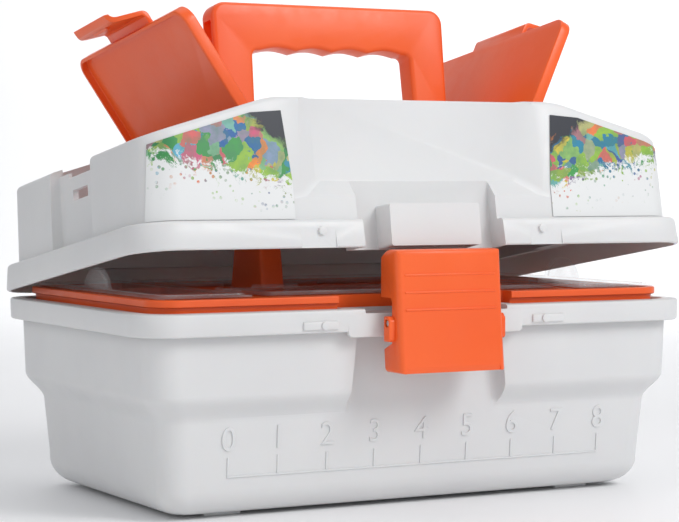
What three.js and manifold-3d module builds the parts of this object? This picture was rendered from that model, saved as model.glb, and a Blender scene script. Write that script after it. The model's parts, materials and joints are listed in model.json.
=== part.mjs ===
// Children's fishing tackle box: a drafted tub, a hinged lid with two bin flaps and a carrying
// handle, a front latch, and a lift-out tray with clear hinged covers.
// Millimetres, +Z up, X to the right seen from the front, Y towards the hinge side. The origin is on
// the floor under the middle of the whole box, latch and hinge included; the pieces are drawn about
// the middle of the tub, which stands forward or back of it by TUB_OFFSET.
// The rest pose has the lid ajar, both flaps open and the handle upright.
import * as THREE from "three";
import { mergeVertices } from "three/addons/utils/BufferGeometryUtils.js";
import Module from "manifold-3d";

const wasm = await Module();
wasm.setup();

// ---------------------------------------------------------------- driving dimensions
const WALL = 2.3; // wall of the moulded shells
const GAP = 0.5; // running clearance
const CORNER_STEPS = 6; // straight pieces in a rounded corner

const TUB_OFFSET = 4.5;
const FOOT_HEIGHT = 1.8;
const FOOT = { x: 97, y: 55, halfX: 9.5, halfY: 7 };
const RIM_TOP = 95.3;
const RIM_HEIGHT = 10.5;
const RIM = { x: 149.5, y: 93, r: 20 }; // half width, half depth, corner radius
const UPPER = { x: 143.6, y: 87.1, r: 15 }; // tub wall under the rim
const LOWER = { x: 134.8, y: 78.8, r: 13 }; // tub wall under the inward step
const STEP_TOP = 58;
const STEP_BOTTOM = 44.5;
const FRONT_SLOPE = 0.08; // draft of the lower wall, depth per height

const LATCH_BAY = 43.5; // half width of the bay behind the latch
const LATCH_APRON = 47.5; // half width of the deeper rim apron
const RIM_DIP = 38.7; // half width of the lowered rim under the lid boss
const BUMP = { x: 62, half: 9, low: 86, high: 90 }; // raised pads on the rim that locate the lid

const HINGE = { y: 99.2, z: 95.4, r: 4.2, x: 84 };
const KNUCKLE_WIDTH = 20; // the lid's knuckle between two lugs of the tub
const LUG_WIDTH = 9.5;
const LID_AJAR = THREE.MathUtils.degToRad(8.4);
const FLANGE = { x: 151, y: 94.5, r: 21, bottom: 95.6, top: 108.8, wall: 1.7 };
const LID = { x: 145, y: 88.5, r: 17, draft: 0.02 };
const PLATEAU_Z = 166.8;
const PLATEAU_X = 78;
const SHOULDER_SLOPE = 0.291; // fall per outward distance
const SHOULDER_ANGLE = Math.atan(SHOULDER_SLOPE);
const PANEL = { x: 67, depth: 6.5, bevel: 11, rise: 0.76, sill: 119.6 }; // sunk front panel
const BOSS = { x: 24.4, y: -95, bottom: 95.9, top: 115.7 };
const BAY = 38.2; // half width of the opening in the lid flange
const BIN = { floor: 128.4, inner: 86, outer: 136.4, half: 60.5, wall: 9 };

const FLAP = { length: 57.5, half: 64.6, plate: 2.2, skirt: 5.8, axisDrop: 3.8, x: 79.6, corner: 8 };
const FLAP_OPEN = { left: 75, right: 78 }; // degrees from shut
const TONGUE = { half: 24.5, inner: 139.7, outer: 142, drop: 18.5 };
const CATCH = { half: 26.2, x: 139, slot: 9.4, low: 131.8, high: 137 }; // recess and slot for the tongue

const HANDLE = { outer: 66.5, inner: 46, top: 229.4, under: 205.3, depth: 13.6, pivotZ: 175 };

const LATCH = { x: 28.5, y: -100, z: 88.8, top: 122.6, bottom: 65.8, wall: 2.3, corner: 3 };
const LATCH_HOOK = { depth: 3.7, under: 5.6 }; // how far the hook plate reaches back, and its thickness
const LATCH_LUG = 3.2; // radius of the tub's lugs round the latch pin

const TRAY = { x: 138.2, y: 81.8, r: 13, bottom: 54.4, top: 101.1, wall: 1.9, lean: 2.2 };
const TRAY_RIM = 1.5;
const COVER = { gap: 0.3, thick: 1.4, inner: 88.9, outer: 136.6, half: 79.4 };
const COVER_DEPTH = { front: 50.5, rear: 57.5 }; // front to back, of the middle covers
const SPINE = 21; // half depth of the tray's middle spine
const TRAY_NOTCH_Y = -LOWER.y + WALL + 1.6; // the tray steps back round the latch bay
const TRAY_WING = 85.5; // wall between a wing and the middle
const TRAY_SPLIT = 28; // dividers either side of the middle
const SLIT = 0.3; // gap between two nodes of one moulding

const INCH = 25.4;
const RULER = { y: 76.9, z: 19.2, tick: 9.5, line: 1, proud: 0.5 };

// ---------------------------------------------------------------- materials
function plastic(colour, roughness) {
  return new THREE.MeshStandardMaterial({ color: colour, roughness, metalness: 0 });
}
const white = () => plastic(0xe6e7e8, 0.45);
const orange = () => plastic(0xf0702f, 0.4);
const steel = () => new THREE.MeshStandardMaterial({ color: 0xb9bcc0, roughness: 0.3, metalness: 1 });
function clear() {
  const made = plastic(0xdfe6ea, 0.12);
  made.transparent = true;
  made.opacity = 0.35;
  return made;
}
const printed = () => plastic(0xf4f4f2, 0.35);

// ---------------------------------------------------------------- solids
function solid(geometry) {
  const bare = new THREE.BufferGeometry().setAttribute("position", geometry.getAttribute("position"));
  if (geometry.index) bare.setIndex(geometry.index);
  const merged = mergeVertices(bare, 1e-4);
  return new wasm.Manifold(
    new wasm.Mesh({
      numProp: 3,
      vertProperties: new Float32Array(merged.attributes.position.array),
      triVerts: new Uint32Array(merged.index.array),
    }),
  );
}

function geometryOf(made) {
  const m = made.getMesh();
  const geometry = new THREE.BufferGeometry();
  geometry.setAttribute("position", new THREE.BufferAttribute(new Float32Array(m.vertProperties), 3));
  geometry.setIndex(new THREE.BufferAttribute(new Uint32Array(m.triVerts), 1));
  geometry.computeVertexNormals();
  return geometry;
}

function join(...pieces) {
  return pieces.reduce((all, piece) => all.add(piece));
}

// A closed skin over rings of points that run the same way round; the end rings are convex.
function loft(rings) {
  const count = rings[0].length;
  const points = rings.flat().flatMap((p) => [p.x, p.y, p.z]);
  const faces = [];
  for (let k = 0; k + 1 < rings.length; k++)
    for (let i = 0; i < count; i++) {
      const a = k * count + i;
      const b = k * count + ((i + 1) % count);
      faces.push(a, b, b + count, a, b + count, a + count);
    }
  const last = (rings.length - 1) * count;
  for (let i = 1; i + 1 < count; i++) faces.push(0, i + 1, i, last, last + i, last + i + 1);
  const geometry = new THREE.BufferGeometry();
  geometry.setAttribute("position", new THREE.Float32BufferAttribute(points, 3));
  geometry.setIndex(faces);
  return solid(geometry);
}

// A level ring with rounded corners.
function ring(halfX, halfY, radius, z) {
  const outline = new THREE.Shape();
  const corner = (x, y, from) => outline.absarc(x, y, radius, from, from + Math.PI / 2, false);
  corner(halfX - radius, halfY - radius, 0);
  corner(radius - halfX, halfY - radius, Math.PI / 2);
  corner(radius - halfX, radius - halfY, Math.PI);
  corner(halfX - radius, radius - halfY, 1.5 * Math.PI);
  const points = outline.getPoints(CORNER_STEPS);
  const unique = points.filter((p, i) => i === 0 || p.distanceTo(points[i - 1]) > 1e-6);
  if (unique[0].distanceTo(unique[unique.length - 1]) < 1e-6) unique.pop();
  return unique.map((p) => new THREE.Vector3(p.x, p.y, z));
}

// A drafted rounded box through sections [z, half width, half depth, corner radius], grown all round.
function tub(sections, grow = 0) {
  return loft(sections.map(([z, x, y, r]) => ring(x + grow, y + grow, Math.max(r + grow, 0.5), z)));
}

function box(x0, x1, y0, y1, z0, z1) {
  const geometry = new THREE.BoxGeometry(x1 - x0, y1 - y0, z1 - z0);
  geometry.translate((x0 + x1) / 2, (y0 + y1) / 2, (z0 + z1) / 2);
  return solid(geometry);
}

function shapeOf(points) {
  return new THREE.Shape(points.map(([a, b]) => new THREE.Vector2(a, b)));
}

// A shape drawn in X and Z, drawn out along Y.
function alongY(shape, y0, y1, segments = 6) {
  const geometry = new THREE.ExtrudeGeometry(shape, {
    depth: y1 - y0,
    bevelEnabled: false,
    curveSegments: segments,
  });
  geometry.rotateX(Math.PI / 2);
  geometry.translate(0, y1, 0);
  return solid(geometry);
}

// A shape drawn in Y and Z, drawn out along X.
function alongX(shape, x0, x1, segments = 6) {
  const geometry = new THREE.ExtrudeGeometry(shape, {
    depth: x1 - x0,
    bevelEnabled: false,
    curveSegments: segments,
  });
  geometry.applyMatrix4(new THREE.Matrix4().set(0, 0, 1, x0, 1, 0, 0, 0, 0, 1, 0, 0, 0, 0, 0, 1));
  return solid(geometry);
}

// A round bar along X or Y.
function bar(axis, from, to, a, b, radius, sides = 16) {
  const geometry = new THREE.CylinderGeometry(radius, radius, to - from, sides);
  if (axis === "x") {
    geometry.rotateZ(Math.PI / 2);
    geometry.translate((from + to) / 2, a, b);
  } else geometry.translate(a, (from + to) / 2, b);
  return solid(geometry);
}

function both(make) {
  return join(make(-1), make(1));
}

// A box that keeps its order of corners when mirrored to the other side.
function sideBox(side, x0, x1, y0, y1, z0, z1) {
  return side < 0 ? box(-x1, -x0, y0, y1, z0, z1) : box(x0, x1, y0, y1, z0, z1);
}

function mesh(name, made, material) {
  const geometry = made.isBufferGeometry ? made : geometryOf(made);
  const piece = new THREE.Mesh(geometry, material);
  piece.name = name;
  return piece;
}

// ---------------------------------------------------------------- base tub
// Each section is [z, half width, half depth, corner radius].
const TUB_SECTIONS = [
  [FOOT_HEIGHT, LOWER.x - 14, LOWER.y - 14, LOWER.r - 7],
  [FOOT_HEIGHT + 0.8, LOWER.x - 9.6, LOWER.y - 9.6, LOWER.r - 4],
  [FOOT_HEIGHT + 3.4, LOWER.x - 6, LOWER.y - 6, LOWER.r - 2],
  [FOOT_HEIGHT + 7.4, LOWER.x - 3.7, LOWER.y - 3.7, LOWER.r - 1],
  [FOOT_HEIGHT + 12, LOWER.x - 2.5, LOWER.y - 2.5, LOWER.r],
  [STEP_BOTTOM, LOWER.x, LOWER.y, LOWER.r],
  [STEP_BOTTOM + 3, LOWER.x + 1.3, LOWER.y + 1.2, LOWER.r],
  [STEP_BOTTOM + 7, LOWER.x + 4.8, LOWER.y + 4.6, LOWER.r + 1],
  [STEP_BOTTOM + 10.5, LOWER.x + 7, LOWER.y + 6.6, LOWER.r + 2],
  [STEP_TOP, UPPER.x - 1, UPPER.y - 1, UPPER.r],
  [RIM_TOP - 2.4, UPPER.x, UPPER.y, UPPER.r],
];

function tubInside() {
  const floor = [FOOT_HEIGHT + WALL, LOWER.x - 18, LOWER.y - 18, LOWER.r - 7];
  const inner = TUB_SECTIONS.slice(2).map(([z, x, y, r]) => [z + 1.2, x - WALL, y - WALL, r - WALL]);
  inner[0][0] = FOOT_HEIGHT + WALL + 2.4;
  const mouth = [RIM_TOP + 1, UPPER.x - WALL, UPPER.y - WALL, UPPER.r - WALL];
  const bay = box(-LATCH_BAY - WALL, LATCH_BAY + WALL, -RIM.y, WALL - LOWER.y, STEP_BOTTOM, RIM_TOP + 2);
  return tub([floor, ...inner, mouth]).subtract(bay);
}

function rim() {
  const outer = tub([
    [RIM_TOP - RIM_HEIGHT, RIM.x - 0.4, RIM.y - 0.4, RIM.r],
    [RIM_TOP, RIM.x, RIM.y, RIM.r],
  ]);
  const groove = tub([
    [RIM_TOP - RIM_HEIGHT - 1, RIM.x - 2.6, RIM.y - 2.6, RIM.r - 2],
    [RIM_TOP - 2.4, RIM.x - 2.4, RIM.y - 2.4, RIM.r - 2],
  ]);
  return outer.subtract(groove);
}

// The apron in front of the latch bay carries two lugs for the latch pin.
function apron() {
  const plate = box(-LATCH_APRON, LATCH_APRON, -RIM.y, 2.2 - RIM.y, RIM_TOP - 13, RIM_TOP - 1);
  const shelf = box(-LATCH_APRON, LATCH_APRON, -RIM.y + 1, WALL - LOWER.y, RIM_TOP - 4.5, RIM_TOP - 2.1);
  const lug = new THREE.Shape();
  lug.moveTo(1 - RIM.y, LATCH.z - LATCH_LUG);
  lug.lineTo(LATCH.y, LATCH.z - LATCH_LUG);
  lug.absarc(LATCH.y, LATCH.z, LATCH_LUG, 1.5 * Math.PI, Math.PI / 2, true);
  lug.lineTo(1 - RIM.y, LATCH.z + LATCH_LUG);
  const lugs = both((s) => alongX(lug, s * 21.5 - 2.5, s * 21.5 + 2.5));
  const pad = (x) => box(x - BUMP.half, x + BUMP.half, -RIM.y - 0.9, -RIM.y + 1, BUMP.low, BUMP.high);
  const pads = both((s) => pad(s * BUMP.x));
  return join(plate, shelf, lugs, pads);
}

function ruler() {
  const slope = Math.atan(FRONT_SLOPE);
  const strip = (x, width, z0, z1) => {
    const depth = 1.4;
    const geometry = new THREE.BoxGeometry(width, depth, z1 - z0);
    geometry.translate(0, depth / 2 - RULER.proud, (z1 - z0) / 2);
    geometry.rotateX(slope);
    geometry.translate(x, -RULER.y - (z0 - RULER.z) * FRONT_SLOPE, z0);
    return solid(geometry);
  };
  const pieces = [strip(0, 8 * INCH + RULER.line, RULER.z, RULER.z + RULER.line)];
  const top = RULER.z + RULER.tick;
  for (let k = -4; k <= 4; k++) pieces.push(strip(k * INCH, RULER.line, RULER.z, top));
  return join(...pieces);
}

function hingeLug(from, to) {
  const lug = new THREE.Shape();
  lug.moveTo(RIM.y - 1.5, RIM_TOP - 10);
  lug.lineTo(RIM.y + 2, RIM_TOP - 10);
  lug.lineTo(HINGE.y + HINGE.r, HINGE.z - 2);
  lug.absarc(HINGE.y, HINGE.z, HINGE.r, 0, Math.PI, false);
  lug.lineTo(HINGE.y - HINGE.r, RIM_TOP - 2);
  lug.lineTo(RIM.y - 1.5, RIM_TOP - 2);
  return alongX(lug, from, to);
}

function baseTub() {
  const footTop = FOOT_HEIGHT + 1;
  const foot = (x, y) => box(x - FOOT.halfX, x + FOOT.halfX, y - FOOT.halfY, y + FOOT.halfY, 0, footTop);
  const feet = both((sx) => both((sy) => foot(sx * FOOT.x, sy * FOOT.y)));
  const lug = (x) => hingeLug(x - LUG_WIDTH / 2, x + LUG_WIDTH / 2);
  const spread = (KNUCKLE_WIDTH + LUG_WIDTH) / 2 + GAP;
  const lugs = both((s) => join(lug(s * HINGE.x - spread), lug(s * HINGE.x + spread)));
  const bay = box(-LATCH_BAY, LATCH_BAY, -RIM.y - 2, -LOWER.y, STEP_BOTTOM - 0.01, RIM_TOP - 2);
  const shell = join(tub(TUB_SECTIONS), rim()).subtract(bay);
  const dip = box(-RIM_DIP, RIM_DIP, -RIM.y - 2, 1 - LOWER.y, RIM_TOP - 2.1, RIM_TOP + 2);
  return join(shell, apron())
    .subtract(dip)
    .subtract(tubInside())
    .add(join(feet, lugs, ruler()))
    .subtract(both((s) => bar("x", s * HINGE.x - 25, s * HINGE.x + 25, HINGE.y, HINGE.z, 2.1)))
    .subtract(bar("x", -26, 26, LATCH.y, LATCH.z, 1.9));
}

// ---------------------------------------------------------------- lid
function lidSections(grow = 0) {
  const top = PLATEAU_Z + 4;
  const lean = (top - FLANGE.bottom) * LID.draft;
  return [
    [FLANGE.bottom, LID.x + grow, LID.y + grow, LID.r + grow],
    [top, LID.x - lean + grow, LID.y - lean + grow, LID.r + grow],
  ];
}

// The lid's roof line seen from the front, lowered by drop.
function roof(drop) {
  const low = FLANGE.bottom - 5;
  const edge = 160;
  const edgeZ = PLATEAU_Z - (edge - PLATEAU_X) * SHOULDER_SLOPE - drop;
  const half = PLATEAU_X - drop * Math.tan(SHOULDER_ANGLE / 2);
  const z = PLATEAU_Z - drop;
  return shapeOf([
    [-edge, low],
    [edge, low],
    [edge, edgeZ],
    [half, z],
    [-half, z],
    [-edge, edgeZ],
  ]);
}

// The sunk panel in the lid's front: a block that narrows inward, grown by the wall for the inside.
function panelCut(grow) {
  const front = -LID.y - 6;
  const back = -LID.y + PANEL.depth + grow;
  const rectangle = (y) => {
    const spread = ((back - y) * PANEL.bevel) / PANEL.depth - PANEL.bevel;
    const half = PANEL.x + grow + spread;
    const low = PANEL.sill - grow - spread * PANEL.rise;
    return [
      new THREE.Vector3(-half, y, low),
      new THREE.Vector3(half, y, low),
      new THREE.Vector3(half, y, PLATEAU_Z + 30),
      new THREE.Vector3(-half, y, PLATEAU_Z + 30),
    ];
  };
  return loft([rectangle(back), rectangle(front)]);
}

function lidBody() {
  const flange = tub([
    [FLANGE.bottom, FLANGE.x, FLANGE.y, FLANGE.r],
    [FLANGE.top, FLANGE.x - 1.2, FLANGE.y - 1.2, FLANGE.r],
  ]);
  return tub(lidSections()).intersect(alongY(roof(0), -120, 120)).add(flange);
}

function lidInside() {
  const flange = tub([
    [FLANGE.bottom - 1, FLANGE.x - FLANGE.wall, FLANGE.y - FLANGE.wall, FLANGE.r - 1],
    [FLANGE.top - 2, FLANGE.x - FLANGE.wall - 1.1, FLANGE.y - FLANGE.wall - 1.1, FLANGE.r - 1],
  ]);
  const front = PANEL.depth + WALL - LID.y;
  const bay = box(-BAY - WALL, BAY + WALL, -FLANGE.y - 2, front, FLANGE.bottom - 3, PANEL.sill + 12);
  return tub(lidSections(-WALL))
    .intersect(alongY(roof(WALL), -120, 120))
    .add(flange)
    .subtract(panelCut(WALL))
    .subtract(bay);
}

function shoulderZ(x) {
  return PLATEAU_Z - (x - PLATEAU_X) * SHOULDER_SLOPE;
}

// The solid around a bin under one flap and behind the tongue recess, before it is hollowed.
function binBlock(side) {
  const half = BIN.half + BIN.wall;
  const block = sideBox(side, PLATEAU_X - 1, LID.x, -half, half, BIN.floor - WALL, PLATEAU_Z);
  const wide = CATCH.half + WALL;
  const backing = sideBox(side, CATCH.x - 2.6, LID.x, -wide, wide, FLANGE.top - 2, 148);
  const inside = tub(lidSections(-1)).intersect(alongY(roof(1), -100, 100));
  return join(block, backing).intersect(inside);
}

function binHollow(side) {
  const rebate = FLAP.half + 0.7;
  const profile = (points) => shapeOf(side > 0 ? points : points.map(([x, z]) => [-x, z]).reverse());
  const pocket = profile([
    [PLATEAU_X - 1.9, PLATEAU_Z - 9.4],
    [BIN.inner, shoulderZ(BIN.inner) - 8.6],
    [137.2, shoulderZ(137.2) - 7.4],
    [137.2, 190],
    [PLATEAU_X - 1.9, 190],
  ]);
  const well = profile([
    [135, shoulderZ(135) - 3.4],
    [150, shoulderZ(150) - 3.4],
    [150, 190],
    [135, 190],
  ]);
  return join(
    alongY(pocket, -rebate, rebate),
    alongY(well, -CATCH.half, CATCH.half),
    sideBox(side, BIN.inner, BIN.outer, -BIN.half, BIN.half, BIN.floor, 170),
    sideBox(side, CATCH.x, 160, -CATCH.half, CATCH.half, FLANGE.top, 170),
    sideBox(side, BIN.outer - 1, 160, -14, 14, 143.4, 170),
    sideBox(side, BIN.outer - 1, 160, -CATCH.slot, CATCH.slot, CATCH.low, CATCH.high),
    bar("y", -FLAP.half - 4, FLAP.half + 4, side * FLAP.x, PLATEAU_Z - FLAP.axisDrop, 1.5),
  );
}

function lidKnuckle(side) {
  const arm = new THREE.Shape();
  arm.moveTo(FLANGE.y - 1.6, FLANGE.top - 1);
  arm.lineTo(FLANGE.y - 1.6, FLANGE.bottom + 2.6);
  arm.lineTo(HINGE.y - HINGE.r, FLANGE.bottom + 2.6);
  arm.absarc(HINGE.y, HINGE.z, HINGE.r, Math.PI, 2.5 * Math.PI, false);
  arm.lineTo(FLANGE.y + 1, FLANGE.top - 1);
  return alongX(arm, side * HINGE.x - KNUCKLE_WIDTH / 2, side * HINGE.x + KNUCKLE_WIDTH / 2);
}

function handleLug(side) {
  const lug = new THREE.Shape();
  lug.moveTo(-8, PLATEAU_Z - 1);
  lug.lineTo(8, PLATEAU_Z - 1);
  lug.lineTo(5.5, HANDLE.pivotZ);
  lug.absarc(0, HANDLE.pivotZ, 5.5, 0, Math.PI, false);
  const x = side * (HANDLE.outer + 3.3);
  return alongX(lug, x - 2.6, x + 2.6);
}

function lidShell() {
  const bay = box(-BAY, BAY, -FLANGE.y - 2, PANEL.depth - LID.y, FLANGE.bottom - 3, PANEL.sill + 9);
  const notchAt = (x) => box(x - BUMP.half, x + BUMP.half, -120, 0.8 - FLANGE.y, 90, FLANGE.top - 2.6);
  const notch = both((s) => notchAt(s * BUMP.x));
  return lidBody()
    .subtract(lidInside())
    .subtract(notch)
    .subtract(panelCut(0))
    .subtract(bay)
    .add(both(binBlock))
    .subtract(both(binHollow))
    .add(join(both(lidKnuckle), both(handleLug)))
    .subtract(both((s) => bar("x", s * HINGE.x - 25, s * HINGE.x + 25, HINGE.y, HINGE.z, 2.1)))
    .subtract(both((s) => bar("x", s * 70 - 6, s * 70 + 6, 0, HANDLE.pivotZ, 2.3)));
}

// The boss under the sunk panel that the latch hooks over.
function lidCatch() {
  return box(-BOSS.x, BOSS.x, BOSS.y, PANEL.depth - LID.y - SLIT, BOSS.bottom, BOSS.top);
}

function label(side) {
  const skin = tub(lidSections(0.7)).subtract(tub(lidSections(0.3)));
  const margin = 4.6;
  const outline = shapeOf([
    [70.6, FLANGE.top + 0.8],
    [142, FLANGE.top + 0.8],
    [139.5, shoulderZ(139.5) - margin],
    [90, shoulderZ(90) - margin],
    [74, shoulderZ(90) - margin + 1.2],
    [70.6, PANEL.sill + 6],
  ]);
  const piece = skin.intersect(alongY(outline, -120, -60));
  return side > 0 ? piece : piece.mirror([1, 0, 0]);
}

// ---------------------------------------------------------------- handle
function handle() {
  const outline = new THREE.Shape();
  const foot = HANDLE.pivotZ - HANDLE.depth / 2;
  const r = 7;
  outline.moveTo(-HANDLE.outer + 1, foot);
  outline.lineTo(-HANDLE.outer, HANDLE.top - r);
  outline.absarc(-HANDLE.outer + r, HANDLE.top - r, r, Math.PI, Math.PI / 2, true);
  outline.absarc(HANDLE.outer - r, HANDLE.top - r, r, Math.PI / 2, 0, true);
  outline.lineTo(HANDLE.outer - 1, foot);
  outline.lineTo(HANDLE.inner, foot);
  outline.lineTo(HANDLE.inner - 0.8, HANDLE.under);
  const grip = HANDLE.inner - 5;
  for (let k = 0; k < 4; k++) {
    const right = grip - (k * grip) / 2;
    const left = grip - ((k + 1) * grip) / 2;
    outline.lineTo(right, HANDLE.under);
    outline.quadraticCurveTo((left + right) / 2, HANDLE.under + 3.2, left, HANDLE.under);
  }
  outline.lineTo(-HANDLE.inner + 0.8, HANDLE.under);
  outline.lineTo(-HANDLE.inner, foot);
  const geometry = new THREE.ExtrudeGeometry(outline, {
    depth: HANDLE.depth - 5,
    bevelEnabled: true,
    bevelSize: 2.2,
    bevelThickness: 2.5,
    bevelOffset: -2.2,
    bevelSegments: 2,
    curveSegments: 6,
  });
  geometry.rotateX(Math.PI / 2);
  geometry.translate(0, HANDLE.depth / 2 - 2.5, 0);
  const side = new THREE.Shape();
  const half = HANDLE.depth / 2;
  side.absarc(0, HANDLE.pivotZ, half, Math.PI, 2 * Math.PI, false);
  side.lineTo(half, HANDLE.top + 5);
  side.lineTo(-half, HANDLE.top + 5);
  const low = HANDLE.pivotZ + 9;
  const channel = (s) => sideBox(s, HANDLE.outer - 4, HANDLE.outer + 4, -4, 4, low, HANDLE.top - 9);
  return solid(geometry)
    .intersect(alongX(side, -80, 80, 12))
    .subtract(both(channel))
    .subtract(both((s) => bar("x", s * 60 - 10, s * 60 + 10, 0, HANDLE.pivotZ, 2.3)));
}

// ---------------------------------------------------------------- flaps, drawn shut on the right
// u runs outward along the shoulder from the hinge axis, n is up from it.
function flapOutline(start, inset) {
  const r = FLAP.corner;
  const half = FLAP.half - inset;
  const outline = new THREE.Shape();
  outline.moveTo(start, -half);
  outline.lineTo(FLAP.length - r, -half);
  outline.absarc(FLAP.length - r, r - FLAP.half, r - inset, -Math.PI / 2, 0, false);
  outline.absarc(FLAP.length - r, FLAP.half - r, r - inset, 0, Math.PI / 2, false);
  outline.lineTo(start, half);
  return outline;
}

function sheet(outline, from, to) {
  const geometry = new THREE.ExtrudeGeometry(outline, {
    depth: to - from,
    bevelEnabled: false,
    curveSegments: 5,
  });
  geometry.translate(0, 0, from);
  return solid(geometry);
}

function flap() {
  const top = FLAP.axisDrop * Math.cos(SHOULDER_ANGLE) - 0.3;
  const under = top - FLAP.plate;
  const shell = sheet(flapOutline(1, 0), top - FLAP.skirt, top);
  const hollow = sheet(flapOutline(-5, 1.8), top - 20, under);
  const barrels = both((s) => bar("y", s * 45 - 14, s * 45 + 14, 0, 0, 2.9));
  const webs = both((s) => box(0, 4, s * 45 - 14, s * 45 + 14, 0, top - 0.2));
  // The tongue's drop hangs plumb outside the lid's side wall when the flap is shut.
  const along = (x, n) => (x - FLAP.x) / Math.cos(SHOULDER_ANGLE) - n * SHOULDER_SLOPE;
  const low = top - TONGUE.drop;
  const tongue = shapeOf([
    [FLAP.length - 3, under],
    [along(TONGUE.inner, under), under],
    [along(TONGUE.inner, low + 3), low + 3],
    [along(TONGUE.inner + 2.4, low), low],
    [along(TONGUE.outer + 2.6, low), low],
    [along(TONGUE.outer + 2, low + 1.8), low + 1.8],
    [along(TONGUE.outer, low + 4), low + 4],
    [along(TONGUE.outer, top - 1.6), top - 1.6],
    [along(TONGUE.outer, top) - 1.6, top],
    [FLAP.length - 3, top],
  ]);
  const catchN = top - 14.6;
  const bump = shapeOf([
    [along(TONGUE.inner + 0.6, catchN + 1.6), catchN + 1.6],
    [along(TONGUE.inner - 1, catchN + 0.4), catchN + 0.4],
    [along(TONGUE.inner - 1, catchN - 0.4), catchN - 0.4],
    [along(TONGUE.inner + 0.6, catchN - 1.6), catchN - 1.6],
  ]);
  return shell
    .subtract(hollow)
    .add(join(barrels, webs, alongY(tongue, -TONGUE.half, TONGUE.half), alongY(bump.clone(), -8, 8)))
    .subtract(bar("y", -80, 80, 0, 0, 1.5, 12));
}

// ---------------------------------------------------------------- latch, drawn upright
function latch() {
  const side = new THREE.Shape();
  const foot = LATCH.bottom - LATCH.z;
  const head = LATCH.top - LATCH.z;
  side.moveTo(-8.4, foot);
  side.quadraticCurveTo(-5.4, 0, -3.6, head - 3);
  side.quadraticCurveTo(-3.4, head, -0.6, head);
  side.lineTo(5, head);
  side.lineTo(10.6, head - 4);
  side.lineTo(10.6, 11.6);
  side.lineTo(1.6, 11.6);
  side.lineTo(0.4, 9.6);
  side.lineTo(0.4, -9.4);
  side.lineTo(7.4, -12.4);
  side.lineTo(6.4, foot);
  const pocket = new THREE.Shape();
  pocket.moveTo(-6.2, foot - 1);
  pocket.quadraticCurveTo(-3.4, 0, -1.3, head - LATCH_HOOK.under);
  pocket.lineTo(14, head - LATCH_HOOK.under);
  pocket.lineTo(14, foot - 1);
  const inner = LATCH.x - LATCH.wall;
  // The front face leans, and its upright edges are rounded.
  const reach = 30;
  const fronts = [
    [foot, 8.4],
    [-12, 7],
    [0, 5.9],
    [14, 4.7],
    [head, 3.5],
  ];
  const rings = fronts.map(([z, front]) => ring(LATCH.x, reach + front, LATCH.corner, z));
  const rounded = loft(rings).translate([0, reach, 0]);
  const ear = (s) => sideBox(s, LATCH.x - 1, LATCH.x + 3.1, -2.6, 2.8, -8.5, 3.2);
  const body = alongX(side, -LATCH.x, LATCH.x, 8).intersect(rounded);
  const grooves = [0, 1, 2].map((k) => {
    const z = 21.5 - k * 8;
    return box(-LATCH.x + 4, LATCH.x - 4, -13, -3.4 - k * 0.62, z, z + 1.2);
  });
  // Only the side walls reach back past the hook plate, so the lid's catch clears it.
  const behindHook = box(-inner, inner, LATCH_HOOK.depth, 14, head - LATCH_HOOK.under - 1, head + 1);
  return body
    .subtract(alongX(pocket, -inner, inner, 8))
    .subtract(behindHook)
    .add(both(ear))
    .subtract(join(...grooves))
    .subtract(bar("x", -40, 40, 0, 0, 1.9));
}

// ---------------------------------------------------------------- tray
function tray() {
  const outer = tub([
    [TRAY.bottom, TRAY.x - TRAY.lean, TRAY.y - TRAY.lean, TRAY.r],
    [TRAY.top, TRAY.x, TRAY.y, TRAY.r],
  ]);
  const lip = tub([
    [TRAY.top - 3.4, TRAY.x + TRAY_RIM, TRAY.y + TRAY_RIM, TRAY.r + 1.5],
    [TRAY.top, TRAY.x + TRAY_RIM, TRAY.y + TRAY_RIM, TRAY.r + 1.5],
  ]);
  const notchX = LATCH_BAY + WALL + 1.6;
  const body = join(outer, lip).subtract(box(-notchX, notchX, -120, TRAY_NOTCH_Y, 40, 120));
  return body.subtract(trayInside(0));
}

// The space inside the tray's outer wall, less a gap.
function trayInside(gap) {
  const inset = TRAY.wall + gap;
  const hollow = tub([
    [TRAY.bottom + inset, TRAY.x - TRAY.lean - inset, TRAY.y - TRAY.lean - inset, TRAY.r - inset],
    [TRAY.top + 5, TRAY.x - inset, TRAY.y - inset, TRAY.r - inset],
  ]);
  const notchX = LATCH_BAY + WALL + 1.6 + inset;
  const notch = box(-notchX, notchX, -120, TRAY_NOTCH_Y + inset, 40, 120);
  return hollow.subtract(notch);
}

// The tray's inner walls, each [name, x0, x1, y0, y1] before it is trimmed to the pan.
function trayWalls() {
  const half = TRAY.wall / 2;
  const wing = TRAY_WING;
  const end = wing - half - SLIT;
  const walls = [
    ["tray_wall_left", -wing - half, half - wing, -90, 90],
    ["tray_wall_right", wing - half, wing + half, -90, 90],
    ["tray_spine_front", -end, end, -SPINE - half, half - SPINE],
    ["tray_spine_rear", -end, end, SPINE - half, SPINE + half],
  ];
  for (const [k, word] of [
    [-1, "front"],
    [1, "rear"],
  ]) {
    const near = k * TRAY_SPLIT;
    const [y0, y1] = k < 0 ? [-90, -SPINE - half - SLIT] : [SPINE + half + SLIT, 90];
    walls.push([`tray_divider_left_${word}`, -150, -wing - half - SLIT, near - half, near + half]);
    walls.push([`tray_divider_right_${word}`, wing + half + SLIT, 150, near - half, near + half]);
    walls.push([`tray_divider_${word}_left`, -TRAY_SPLIT - half, half - TRAY_SPLIT, y0, y1]);
    walls.push([`tray_divider_${word}_right`, TRAY_SPLIT - half, TRAY_SPLIT + half, y0, y1]);
  }
  const room = trayInside(SLIT);
  return walls.map(([name, ...span]) => [name, box(...span, 40, TRAY.top).intersect(room)]);
}

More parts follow.
